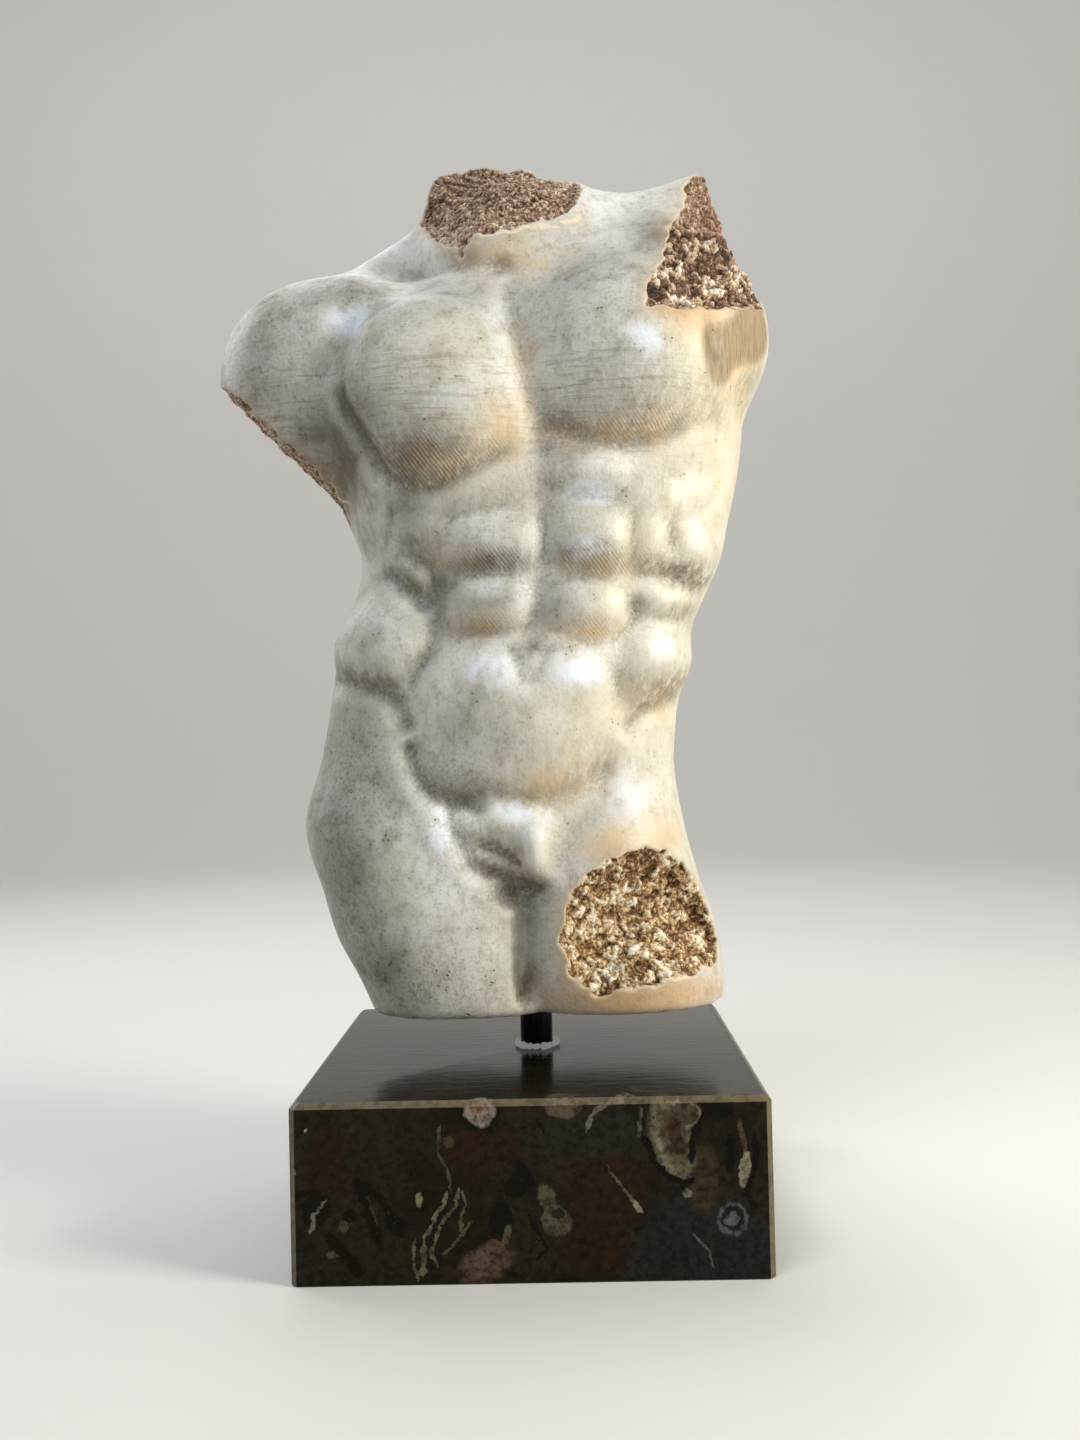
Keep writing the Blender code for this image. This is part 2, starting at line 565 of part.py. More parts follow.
def build_adhesive_ring(sides=36, across=10):
    """A squeezed-out ring: half an oval turned round the rod, its width wandering in lobes."""
    inner = ROD_DIAMETER / 2 + GAP
    turn, bend = np.meshgrid(np.arange(sides) / sides * 2 * np.pi,
                             np.linspace(0, np.pi, across), indexing="ij")
    lobes = 1 + 0.16 * np.sin(2 * turn + 0.7) + 0.10 * np.sin(5 * turn) + 0.06 * np.sin(9 * turn + 2)
    reach = (RING_RADIUS - inner) * lobes * np.sqrt((1 + np.cos(bend)) / 2)
    rise = RING_HEIGHT * (0.85 + 0.15 * lobes) * np.sin(bend / 2)
    points = np.stack([ROD_X + (inner + reach) * np.cos(turn), (inner + reach) * np.sin(turn),
                       PLINTH_HEIGHT + GAP + rise], -1)
    foot = np.stack([ROD_X + inner * np.cos(turn[:, :1]), inner * np.sin(turn[:, :1]),
                     np.full((sides, 1), PLINTH_HEIGHT + GAP)], -1)
    rings = np.concatenate([points, foot], 1)
    count = across + 1
    i, j = np.meshgrid(np.arange(sides), np.arange(count), indexing="ij")
    a, b = i * count + j, i * count + (j + 1) % count
    c, d = (i + 1) % sides * count + (j + 1) % count, (i + 1) % sides * count + j
    mesh = bpy.data.meshes.new("adhesive_ring")
    mesh.from_pydata((rings.reshape(-1, 3) * MM).tolist(), [],
                     np.stack([a, d, c, b], -1).reshape(-1, 4).tolist())
    place("adhesive_ring", mesh, material("Dried adhesive", (0.62, 0.60, 0.52), 0.45), 60.0)


def main():
    for old in list(bpy.data.objects):
        bpy.data.objects.remove(old)
    build_plinth()
    build_rod()
    build_adhesive_ring()
    build_torso()


main()
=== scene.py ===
# %% [markdown]
# # A broken torso on a marble plinth
# The piece is a cast of crushed marble and resin, the size of a desk bronze. It stands on a
# short black steel rod that is glued into a block of polished fossil marble. This lesson builds
# its looks round a measured frame: the frame gives every place and size in metres, and each
# visible piece is worked out from a few tables of lengths in millimetres. The torso is one
# closed skin found by shooting rays at a sum of simple bodies, because a carved figure has no
# straight edge to start from, and a function can be read, changed and run again.

# %% Load the frame
import math

import bmesh
import bpy
import numpy as np
from mathutils import Matrix, Vector


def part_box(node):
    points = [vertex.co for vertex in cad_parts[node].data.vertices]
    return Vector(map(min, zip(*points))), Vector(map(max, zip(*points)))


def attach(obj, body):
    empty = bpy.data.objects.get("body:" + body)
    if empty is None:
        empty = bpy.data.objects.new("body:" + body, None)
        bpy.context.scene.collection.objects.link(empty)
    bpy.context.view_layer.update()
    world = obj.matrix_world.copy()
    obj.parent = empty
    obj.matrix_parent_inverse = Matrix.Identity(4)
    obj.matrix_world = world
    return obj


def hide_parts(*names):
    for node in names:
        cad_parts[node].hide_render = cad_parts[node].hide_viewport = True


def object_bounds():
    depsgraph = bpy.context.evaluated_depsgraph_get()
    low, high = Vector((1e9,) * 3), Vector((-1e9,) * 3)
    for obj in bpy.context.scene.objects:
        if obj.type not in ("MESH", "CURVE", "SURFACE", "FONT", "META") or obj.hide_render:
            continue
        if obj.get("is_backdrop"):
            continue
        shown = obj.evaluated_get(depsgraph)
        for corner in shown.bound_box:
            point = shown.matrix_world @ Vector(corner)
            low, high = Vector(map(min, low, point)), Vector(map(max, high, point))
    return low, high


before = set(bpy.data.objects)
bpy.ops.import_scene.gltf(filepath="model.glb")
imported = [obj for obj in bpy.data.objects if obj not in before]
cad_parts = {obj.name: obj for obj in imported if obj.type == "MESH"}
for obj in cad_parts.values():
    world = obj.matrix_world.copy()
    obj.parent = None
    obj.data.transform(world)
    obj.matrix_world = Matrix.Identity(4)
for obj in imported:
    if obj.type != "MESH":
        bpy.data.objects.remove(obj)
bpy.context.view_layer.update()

MM = 0.001
scene = bpy.context.scene

# %% [markdown]
# ## The camera
# A camera is a place, three angles and a focal length. The angles are small: the camera stands
# half a metre in front of the piece, a little to its right and just above the plinth, looks
# almost level, and is rolled by a degree. From that near, a short lens makes the plinth's sides
# run together towards the back. Turning matrices are multiplied here instead of dragging the
# camera in the viewport, so that the same view comes back each time the lesson runs.

# %% Camera
EYE = (0.0118, -0.5154, 0.1759)             # metres
YAW, PITCH, ROLL = -0.72, -1.22, -1.27      # degrees
FOCAL_LENGTH, SENSOR = 32.84, 36.0          # millimetres
NEAREST, FARTHEST = 0.02, 30.0              # metres, what the camera can see between


def camera_turn(yaw, pitch, roll):
    """Yaw about z, then pitch about x, then roll about y; its rows are right, forward and up."""
    yaw, pitch, roll = (math.radians(angle) for angle in (yaw, pitch, roll))
    return (Matrix.Rotation(roll, 3, "Y") @ Matrix.Rotation(pitch, 3, "X")
            @ Matrix.Rotation(yaw, 3, "Z"))


right, forward, up = camera_turn(YAW, PITCH, ROLL)
lens = bpy.data.cameras.new("camera")
lens.lens, lens.sensor_width = FOCAL_LENGTH, SENSOR
lens.clip_start, lens.clip_end = NEAREST, FARTHEST
camera = bpy.data.objects.new("camera", lens)
scene.collection.objects.link(camera)
camera.matrix_world = Matrix.Translation(EYE) @ Matrix((right, up, -forward)).transposed().to_4x4()
scene.camera = camera
print("camera at", EYE, "looking along", tuple(round(v, 3) for v in forward))

# %% [markdown]
# ## Small helpers
# Three things are needed again and again: an sRGB hex colour as linear light, a shader node with
# its settings and links in one line, and a mesh object from arrays of points and faces. Each
# could be written out every time, but a short helper keeps the later cells about the piece.

# %% Helpers


def linear(code, alpha=1.0):
    """sRGB hex to linear: c / 12.92 below 0.04045, else ((c + 0.055) / 1.055) ^ 2.4."""
    parts = [int(code[k:k + 2], 16) / 255 for k in (1, 3, 5)]
    return (*(c / 12.92 if c <= 0.04045 else ((c + 0.055) / 1.055) ** 2.4 for c in parts), alpha)


def node(tree, kind, settings=None, inputs=None, output=0):
    """Add a shader node, set its properties, set or link each input, and give one output."""
    made = tree.nodes.new("ShaderNode" + kind)
    for name, value in (settings or {}).items():
        setattr(made, name, value)
    for key, value in (inputs or {}).items():
        if isinstance(value, bpy.types.NodeSocket):
            tree.links.new(value, made.inputs[key])
        else:
            made.inputs[key].default_value = value
    return made.outputs[output]


# Settings of a Map Range that rises as 3 t^2 - 2 t^3; it keeps its ends, so it needs no clamp.
SMOOTH_STEP = {"interpolation_type": "SMOOTHSTEP", "clamp": False}


def start_material(name):
    """A material with its shader, and the Object coordinates its patterns are laid in."""
    material = bpy.data.materials.new(name)
    material.use_nodes = True
    tree = material.node_tree
    return material, tree, tree.nodes["Principled BSDF"], node(tree, "TexCoord", output="Object")


def piece(name, points, faces, material, crease=None):
    """A smooth-shaded mesh object from points in metres; edges sharper than crease stay sharp."""
    mesh = bpy.data.meshes.new(name)
    mesh.from_pydata(np.asarray(points).tolist(), [], faces)
    mesh.validate()
    made = bpy.data.objects.new(name, mesh)
    scene.collection.objects.link(made)
    mesh.shade_smooth()
    if crease is not None:
        mesh.set_sharp_from_angle(angle=math.radians(crease))
    if material is not None:
        mesh.materials.append(material)
    return made


print("marble white is", tuple(round(c, 3) for c in linear("#E8E4D8")))

# %% [markdown]
# ## Studio
# A pale floor that curves up into a wall all round gives a plain ground with no horizon line;
# a flat plane would do, but it ends in a hard edge. The light is soft: a warm box at the front
# right models the forms, a cooler one at the left fills them, a cool one behind lays the sheen on
# everything that faces up, and weak ones part the edges from the ground.

# %% Floor and wall
FLOOR_RADIUS, COVE_RADIUS, WALL_HEIGHT = 1.6, 0.9, 2.6      # metres
COVE_STEPS, GROUND_SIDES = 12, 72
FLOOR_ROUGHNESS = 0.9


def studio_profile():
    """Radius and height of the ground: flat, a quarter circle, then an upright wall."""
    turn = np.linspace(0, np.pi / 2, COVE_STEPS)
    radius = FLOOR_RADIUS + COVE_RADIUS * np.sin(turn)
    height = COVE_RADIUS * (1 - np.cos(turn))
    return np.r_[0.0, radius, radius[-1]], np.r_[0.0, height, WALL_HEIGHT]


def turned_surface(radius, height, sides):
    """Profile carried round a circle: x = r cos a, y = r sin a; quads between the rings."""
    angle = np.arange(sides) / sides * 2 * np.pi
    points = np.stack([radius[:, None] * np.cos(angle), radius[:, None] * np.sin(angle),
                       np.repeat(height[:, None], sides, 1)], -1).reshape(-1, 3)
    ring, here = sides * np.arange(len(radius) - 1)[:, None], np.arange(sides)
    after = (here + 1) % sides
    faces = np.stack([ring + here, ring + after, ring + sides + after, ring + sides + here], -1)
    return points, faces.reshape(-1, 4)


# Matt emulsion paint: it mirrors nothing and takes only soft shadows.
pale_floor, tree, shader, place = start_material("pale studio floor")
shader.inputs["Base Color"].default_value = linear("#D6D5D1")
shader.inputs["Roughness"].default_value = FLOOR_ROUGHNESS
points, faces = turned_surface(*studio_profile(), GROUND_SIDES)
ground = piece("studio_ground", points, faces.tolist(), pale_floor)
ground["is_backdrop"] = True
print("ground of", len(faces), "quads")

# %% Soft boxes and air
AIR_STRENGTH = 0.04     # a trace of light from everywhere
LIGHTS = {      # place and aim in metres, width, power in watts, colour
    "warm_box": ((0.75, -0.36, 0.48), (0, 0, 0.23), 0.30, 8.0, "#FFFBEE"),
    "cool_box": ((-0.25, -0.50, 1.00), (0, 0, 0.23), 0.36, 3.8, "#F2F7FF"),
    "sheen_box": ((-0.20, 0.70, 1.20), (0, 0, 0.25), 0.50, 3.2, "#F4F8FF"),
    "edge_box": ((-0.85, 0.45, 0.85), (0, 0, 0.23), 0.50, 3.0, "#FFFFFF"),
    "ceiling": ((0, 0, 2.40), (0, 0, 0), 2.60, 4.0, "#FFFDF8"),
    "wall_wash": ((0, 0.50, 2.00), (0, 2.50, 0.70), 1.20, 26.0, "#FFFFFF"),
}
for name, (spot, target, width, power, colour) in LIGHTS.items():
    box = bpy.data.lights.new(name, "AREA")
    box.size, box.energy, box.color = width, power, linear(colour)[:3]
    stand = bpy.data.objects.new(name, box)
    scene.collection.objects.link(stand)
    aim = Vector(target) - Vector(spot)
    stand.matrix_world = Matrix.Translation(spot) @ aim.to_track_quat("-Z", "Y").to_matrix().to_4x4()
world = bpy.data.worlds.new("studio_air")
scene.world = world
world.use_nodes = True
world.node_tree.nodes["Background"].inputs["Color"].default_value = linear("#DCE2E8")
world.node_tree.nodes["Background"].inputs["Strength"].default_value = AIR_STRENGTH
scene.view_settings.view_transform = "Standard"
print(len(LIGHTS), "soft boxes")

# %% [markdown]
# ## The torso's masses
# A sculptor blocks a figure out as a few large masses before any muscle is cut. It could be
# modelled with brushes, or as a cage under a Subdivision Surface, but neither says in numbers
# why a form lies where it does. Here each mass is a distance field: a function that is below
# zero inside and above zero outside. A trunk and two thighs are lofted through measured
# stations; muscles are ellipsoids; limbs are tapering bars. Taking the smaller of two fields
# joins them, the larger cuts one by another, and a smoothed min or max leaves a fillet.

# %% Stations of the lofted forms
# Each row is z, left x, right x, front y, back y, in millimetres.
TRUNK = (
    (110, -72, 60, -36, 40),
    (135, -80, 58, -42, 46),
    (160, -82, 57, -43, 44),
    (180, -78, 57.5, -43, 37),
    (195, -75, 59.5, -43, 32),
    (207, -73, 64, -43, 29),
    (220, -71, 64.5, -42, 28),
    (234, -65, 70.5, -41, 29),
    (247, -62, 76.5, -42, 32),
    (265, -66, 80, -43, 38),
    (285, -71, 84, -44, 45),
    (305, -74, 86, -43, 51),
    (325, -74, 86, -38, 54),
    (345, -66, 80, -29, 52),
    (365, -48, 70, -16, 44),
    (385, -34, 60, -4, 34),
)
RIGHT_THIGH = (
    (60, -56, 14, -38, 30),
    (76, -59.5, 14, -42, 33),
    (90, -65, 11, -45, 36),
    (105, -73, 10, -46, 38),
    (125, -79.3, 8, -46, 42),
    (150, -85.5, -8, -40, 44),
    (175, -80, -20, -30, 34),
)
LEFT_THIGH = (
    (60, -2, 74, -40, 30),
    (76, -6, 74, -43, 33),
    (90, -12, 73.5, -46, 36),
    (105, -15, 71.5, -48, 38),
    (125, -14, 65.5, -47, 42),
    (150, -4, 57.5, -40, 44),
    (175, 10, 54, -28, 34),
)
TRUNK_SQUARENESS, RIGHT_SQUARENESS, LEFT_SQUARENESS = 2.35, 2.6, 2.25
CHEST_FOOT = ((0, 0, 128), (0, 0, -1), 14)                  # point, facing, rounding
CHEST_TOP = ((0, 0, 385), (0, 0, 1), 20)
HIP_LINE = ((0, 0, 168), (0, 0, 1), 26)
print("trunk lofted through", len(TRUNK), "stations,", TRUNK[-1][0] - TRUNK[0][0], "mm high")

# %% Rounded forms
# They are joined one after another, and each row ends with the width of its fillet.
# "oval": centre, radii, lean, pitch.  "bar": start, end, start radius, end radius.
CHEST_FORMS = (
    ("oval", (-30, -23, 306), (41, 31, 41), 12, 6, 9),      # pectorals
    ("oval", (40, -23, 318), (41, 29, 39), -12, 6, 9),
    ("oval", (-54, 20, 285), (18, 24, 52), 8, 0, 12),       # broad back muscles
    ("oval", (66, 16, 295), (19, 26, 56), -6, 0, 12),
    ("oval", (-42, 38, 325), (30, 20, 34), 10, 0, 12),      # shoulder blades
    ("oval", (50, 36, 340), (30, 20, 36), -14, 0, 12),
)
NECK_FORMS = (
    ("bar", (-8, -5, 340), (-8, -2, 430), 26.5, 26, 0),
    ("bar", (-6, 6, 402), (0, 30, 340), 17, 26, 8),         # nape
    ("oval", (9, -4, 382), (15, 20, 22), 0, 0, 8),
    ("oval", (-17, 7, 392), (17, 18, 40), 0, 0, 6),
    ("bar", (-18, 12, 379), (-76, 8, 345), 17, 15, 12),     # trapezius
)
SHOULDER_FORMS = (
    ("bar", (6, 6, 377), (48, 5, 376), 23, 18, 0),
    ("bar", (48, 5, 376), (92, 6, 391), 18, 17, 4),
    ("bar", (2, -6, 356), (52, -4, 356), 20, 25, 12),
    ("oval", (64, -2, 344), (32, 28, 34), -6, 0, 12),
    ("oval", (78, -2, 330), (19.3, 26, 22), 0, 0, 8),
)
ARM_FORMS = (
    ("oval", (-74.5, 2, 321), (43, 33, 42), 0, 0, 0),
    ("bar", (-84, 2, 326), (-86, 0, 292), 30, 29, 6),
    ("oval", (-60, -12, 332), (26, 20, 26), 0, 0, 10),
)
BUTTOCK_FORMS = (
    ("oval", (-40, 24, 150), (39, 34, 38), 8, 0, 0),
    ("oval", (25, 24, 143), (34, 31, 35), -6, 0, 6),
)
CROTCH_FORMS = (("oval", (-1, 2, 100), (14, 26, 60), 0, 0, 6),)
NECK_FILLET, SHOULDER_FILLET, ARM_FILLET = 12, 12, 8        # where the groups meet the chest
THIGH_FILLET, HIP_FILLET, BUTTOCK_FILLET = 2, 10, 9
FORMS = CHEST_FORMS + NECK_FORMS + SHOULDER_FORMS + ARM_FORMS + BUTTOCK_FORMS + CROTCH_FORMS
print(len(FORMS), "rounded forms, of which", sum(form[0] == "bar" for form in FORMS), "are bars")

# %% Joining and cutting distance fields


def smooth_min(a, b, blend):
    """Union with a fillet: b + (a - b) h - blend h (1 - h), h = 0.5 + (b - a) / 2 blend."""
    h = np.clip(0.5 + 0.5 * (b - a) / blend, 0.0, 1.0)
    return b + (a - b) * h - blend * h * (1.0 - h)


def smooth_max(a, b, blend):
    """Intersection with a rounded edge: less the union of the two fields' negatives."""
    return -smooth_min(-a, -b, blend)


def smoothstep(low, high, value):
    """Rises as 3 t^2 - 2 t^3 while t goes from 0 at low to 1 at high."""
    t = np.clip((value - low) / (high - low), 0.0, 1.0)
    return t * t * (3.0 - 2.0 * t)


def turned(u, w, degrees):
    """(u, w) in axes turned by an angle: u cos + w sin, and w cos - u sin."""
    c, s = np.cos(np.radians(degrees)), np.sin(np.radians(degrees))
    return c * u + s * w, c * w - s * u


def along(z, heights, values):
    """Smooth curve through stations: cubic Hermite pieces with central slopes."""
    heights, values = np.asarray(heights, float), np.asarray(values, float)
    slopes = np.gradient(values, heights)
    i = np.clip(np.searchsorted(heights, z) - 1, 0, len(heights) - 2)
    step = heights[i + 1] - heights[i]
    t = np.clip((z - heights[i]) / step, 0.0, 1.0)
    rise = t * t * (3.0 - 2.0 * t)
    return ((1.0 - rise) * values[i] + rise * values[i + 1]
            + step * t * (1.0 - t) * ((1.0 - t) * slopes[i] - t * slopes[i + 1]))


print("two faces that meet, 4 mm inside both, with a 12 mm fillet:", smooth_min(-4.0, -4.0, 12), "mm")

# %% Simple bodies


def ellipsoid(p, centre, radii, lean=0.0, pitch=0.0):
    """Distance to an ellipsoid, k0 (k0 - 1) / k1: k0 is the length of (x/a, y/b, z/c) and k1
    that of (x/a^2, y/b^2, z/c^2). Lean turns it in the front plane, pitch in the side plane."""
    x, y, z = (p - np.asarray(centre, float)).T
    x, z = turned(x, z, lean)
    y, z = turned(y, z, pitch)
    a, b, c = radii
    k0 = np.sqrt((x / a) ** 2 + (y / b) ** 2 + (z / c) ** 2) + 1e-9
    k1 = np.sqrt((x / a**2) ** 2 + (y / b**2) ** 2 + (z / c**2) ** 2) + 1e-9
    return k0 * (k0 - 1.0) / k1


def limb(p, start, end, start_radius, end_radius):
    """Distance to a tapering round bar: to the nearest point of its axis, less the radius there."""
    start = np.asarray(start, float)
    axis = np.asarray(end, float) - start
    t = np.clip(((p - start) @ axis) / (axis @ axis), 0.0, 1.0)
    return np.linalg.norm(p - start - t[:, None] * axis, axis=1) - (
        start_radius + (end_radius - start_radius) * t)


def girth(p, stations, squareness):
    """Distance to a lofted form whose sections are superellipses through its stations:
    rho = (|u / half width|^n + |v / half depth|^n)^(1/n), and distance = radius (1 - 1 / rho)."""
    s = np.asarray(stations, float)
    x, y, z = p.T
    left, right, front, back = (along(z, s[:, 0], s[:, k]) for k in (1, 2, 3, 4))
    u, v = x - (left + right) / 2, y - (front + back) / 2
    rho = ((np.abs(u) / ((right - left) / 2)) ** squareness
           + (np.abs(v) / ((back - front) / 2)) ** squareness) ** (1 / squareness) + 1e-9
    return np.hypot(u, v) * (1.0 - 1.0 / rho)


def plane(p, point, normal):
    """Distance beyond a plane, positive on the side that its normal points to."""
    normal = np.asarray(normal, float)
    return (p - np.asarray(point, float)) @ (normal / np.linalg.norm(normal))


CHEST_FRONT = np.array([[0.0, -60.0, 300.0]])
print("the chest point lies", girth(CHEST_FRONT, TRUNK, TRUNK_SQUARENESS)[0].round(1), "mm off the trunk")

# %% [markdown]
# ## The breaks
# The breaks are what makes the piece: the neck, both arms and one thigh have snapped. A Boolean
# with a rough cutter could chop them off; as fields they need no mesh, and an edge between skin
# and break can be rounded like any other. Each break is a plane or a shallow hollow that wanders
# a little, and it cuts only its own limb.

# %% Where the figure is broken
# Each plane is one of its points and the way it faces.
NECK_BREAK = ((-4, -3, 392.8), (0.03, -0.66, 0.75))
NECK_SPALL = ((-30, -17, 366), (-0.61, -0.71, 0.35))
NECK_LEDGE = ((-26, -21, 366), (0.60, -0.30, 0.75))
ARM_BREAK = ((-96.8, 0, 300.2), (-0.70, -0.03, -0.714))
SHOULDER_BREAK = ((76, 6, 403), (0.97, 0.0, 0.243))
SHOULDER_NOTCH = ((79, 6, 379), (0.869, 0.0, 0.495))
SHOULDER_SPALL = ((51, -42, 346), (0.590, -0.735, 0.334))
SHOULDER_LEDGE = ((50, -38, 334.5), (-0.06, -0.22, 0.97))
SHOULDER_FACET = ((84.4, -26.3, 328), (0.75, -0.66, -0.02), 1.2)
BREAK_ROUNDING = 1.6                                        # of the edges where skin meets break
BREAK_CORNER = 5                                            # of the edges between two breaks
THIGH_SCOOP = ((86, -90, 107), (92, 74, 56))                # centre, radii
THIGH_LEDGE = ((36, -46, 89.0), (-0.18, 0.0, 0.98))         # slopes up into the thigh
SOLE_HEIGHT = 79.3
SOLE = ((0, 0, SOLE_HEIGHT), (0.012, 0.0, -1.0), 2)         # point, facing, rounding


def ragged(p):
    """Wandering of the broken edges: crossed sine waves 10 to 20 mm long, a millimetre high."""
    x, y, z = p.T
    return (0.6 * np.sin(0.62 * x + 1.3 * np.sin(0.31 * z)) * np.sin(0.55 * z + 0.43 * y)
            + 0.5 * np.sin(0.34 * x - 0.41 * z + 0.37 * y + 2.0))


def breaks(p):
    """Distance beyond each broken surface: neck, raised shoulder, hanging arm and thigh."""
    uneven = ragged(p)
    neck = smooth_min(plane(p, *NECK_SPALL), plane(p, *NECK_LEDGE), BREAK_CORNER)
    neck = smooth_max(neck, plane(p, *NECK_BREAK), BREAK_CORNER)
    shoulder = smooth_min(plane(p, *SHOULDER_SPALL), plane(p, *SHOULDER_LEDGE), BREAK_CORNER)
    across = smooth_min(plane(p, *SHOULDER_BREAK), plane(p, *SHOULDER_NOTCH), BREAK_CORNER)
    shoulder = smooth_max(shoulder, across, BREAK_CORNER)
    ledge = 0.6 * plane(p, *THIGH_LEDGE) + 0.8 * girth(p, LEFT_THIGH, LEFT_SQUARENESS)
    thigh = smooth_min(-ellipsoid(p, *THIGH_SCOOP), ledge, BREAK_CORNER)
    return neck + uneven, shoulder + uneven, plane(p, *ARM_BREAK) + uneven, thigh + uneven


LONG_EDGE = np.stack([np.linspace(-40, 40, 161), np.zeros(161), np.full(161, 360.0)], -1)
print("a broken edge wanders by", np.ptp(ragged(LONG_EDGE)).round(2), "mm over 80 mm")

# %% Joining and trimming a row of forms
FORM_KINDS = {"oval": ellipsoid, "bar": limb}


def joined(p, forms, d=None):
    """Union with fillets of forms taken one after another, and of d if it is given."""
    for kind, *measures, fillet in forms:
        form = FORM_KINDS[kind](p, *measures)
        d = form if d is None else smooth_min(d, form, fillet)
    return d


def trimmed(p, d, point, facing, rounding):
    """A distance field cut off along a plane: the larger of the two, with a rounded edge."""
    return smooth_max(d, plane(p, point, facing), rounding)


NECK_MIDDLE = np.array([[-8.0, -4.0, 380.0]])
print("the middle of the neck lies", -joined(NECK_MIDDLE, NECK_FORMS)[0].round(1), "mm under its skin")

# %% The whole figure


def figure(p, broken=True):
    """Distance to the torso: its masses joined in turn, each limb cut by its own break.

    With broken=False the neck, arms and thigh run on past their breaks."""
    def cut(d, beyond):
        return smooth_max(d, beyond, BREAK_ROUNDING) if broken else d

    neck_break, shoulder_break, arm_break, thigh_break = breaks(p)
    trunk = trimmed(p, girth(p, TRUNK, TRUNK_SQUARENESS), *CHEST_FOOT)
    trunk = joined(p, CHEST_FORMS, trimmed(p, trunk, *CHEST_TOP))
    trunk = cut(smooth_min(trunk, joined(p, NECK_FORMS), NECK_FILLET), neck_break)
    trunk = smooth_min(trunk, joined(p, SHOULDER_FORMS), SHOULDER_FILLET)
    trunk = cut(trimmed(p, trunk, *SHOULDER_FACET), shoulder_break)
    trunk = smooth_min(trunk, cut(joined(p, ARM_FORMS), arm_break), ARM_FILLET)
    right_thigh = trimmed(p, girth(p, RIGHT_THIGH, RIGHT_SQUARENESS), *HIP_LINE)
    left_thigh = trimmed(p, girth(p, LEFT_THIGH, LEFT_SQUARENESS), *HIP_LINE)
    thighs = smooth_min(right_thigh, cut(left_thigh, thigh_break), THIGH_FILLET)
    d = smooth_min(trunk, joined(p, CROTCH_FORMS, thighs), HIP_FILLET)
    return trimmed(p, smooth_min(d, joined(p, BUTTOCK_FORMS), BUTTOCK_FILLET), *SOLE)


def break_depth(p):
    """How deep a point of the surface lies inside the unbroken body: over zero on a break."""
    return -figure(p, broken=False)


print("the chest's core lies", -figure(np.array([[0.0, 0.0, 300.0]]))[0].round(1), "mm under the skin")

# %% [markdown]
# ## From fields to a skin
# A field has no mesh yet. Marching cubes would give one, but with steps and slivers, and a
# Remesh modifier rounds off every edge. Rays give a clean one: they leave a slightly curved core
# line, level along the trunk and fanned out at both ends, and halving an interval finds where
# each one leaves the body. That is a closed grid, like the lines of a globe. The grid's angles
# are then shifted until its squares are about even.

# %% Rays
CORE_LOW, CORE_HIGH = 112.0, 350.0                          # millimetres
CORE_LINE = ((100, 160, 240, 290, 320, 350), (-3, -12, 6, 4, -12, -6))      # z, and its x
LEVEL_FROM, LEVEL_TO = 0.18, 0.82                           # the share of rays that is level
LONGEST_RAY = 190.0                                         # millimetres


def rays(theta, t):
    """Ray for each grid place: t runs up the core line, and theta is its angle from the front.

    Its direction is (sin theta cos rise, -cos theta cos rise, sin rise), where rise goes from
    -90 degrees at t = 0 to level, and from level to 90 degrees at t = 1."""
    level = np.clip((t - LEVEL_FROM) / (LEVEL_TO - LEVEL_FROM), 0.0, 1.0)
    z = CORE_LOW + (CORE_HIGH - CORE_LOW) * level
    rise = np.minimum(t / LEVEL_FROM - 1, 0) + np.maximum((t - LEVEL_TO) / (1 - LEVEL_TO), 0)
    rise = rise * np.pi / 2
    start = np.stack([along(z, *CORE_LINE), np.zeros_like(z), z], -1)
    flat = np.cos(rise)
    return start, np.stack([np.sin(theta) * flat, -np.cos(theta) * flat, np.sin(rise)], -1)


def cast(theta, t, steps=16):
    """Where each ray leaves the figure, found by halving an interval."""
    start, direction = rays(theta, t)
    near, far = np.zeros(len(start)), np.full(len(start), LONGEST_RAY)
    for _ in range(steps):
        middle = (near + far) / 2
        inside = figure(start + direction * middle[:, None]) < 0
        near, far = np.where(inside, middle, near), np.where(inside, far, middle)
    return start + direction * ((near + far) / 2)[:, None]


print("the chest's front lies at y =", cast(np.zeros(1), np.full(1, 0.7))[0, 1].round(1), "mm")

# %% An even grid
COARSE_ANGLES, COARSE_LEVELS, COARSE_STEPS = 121, 141, 11   # of the grid that lengths come from
SMOOTHINGS = 6


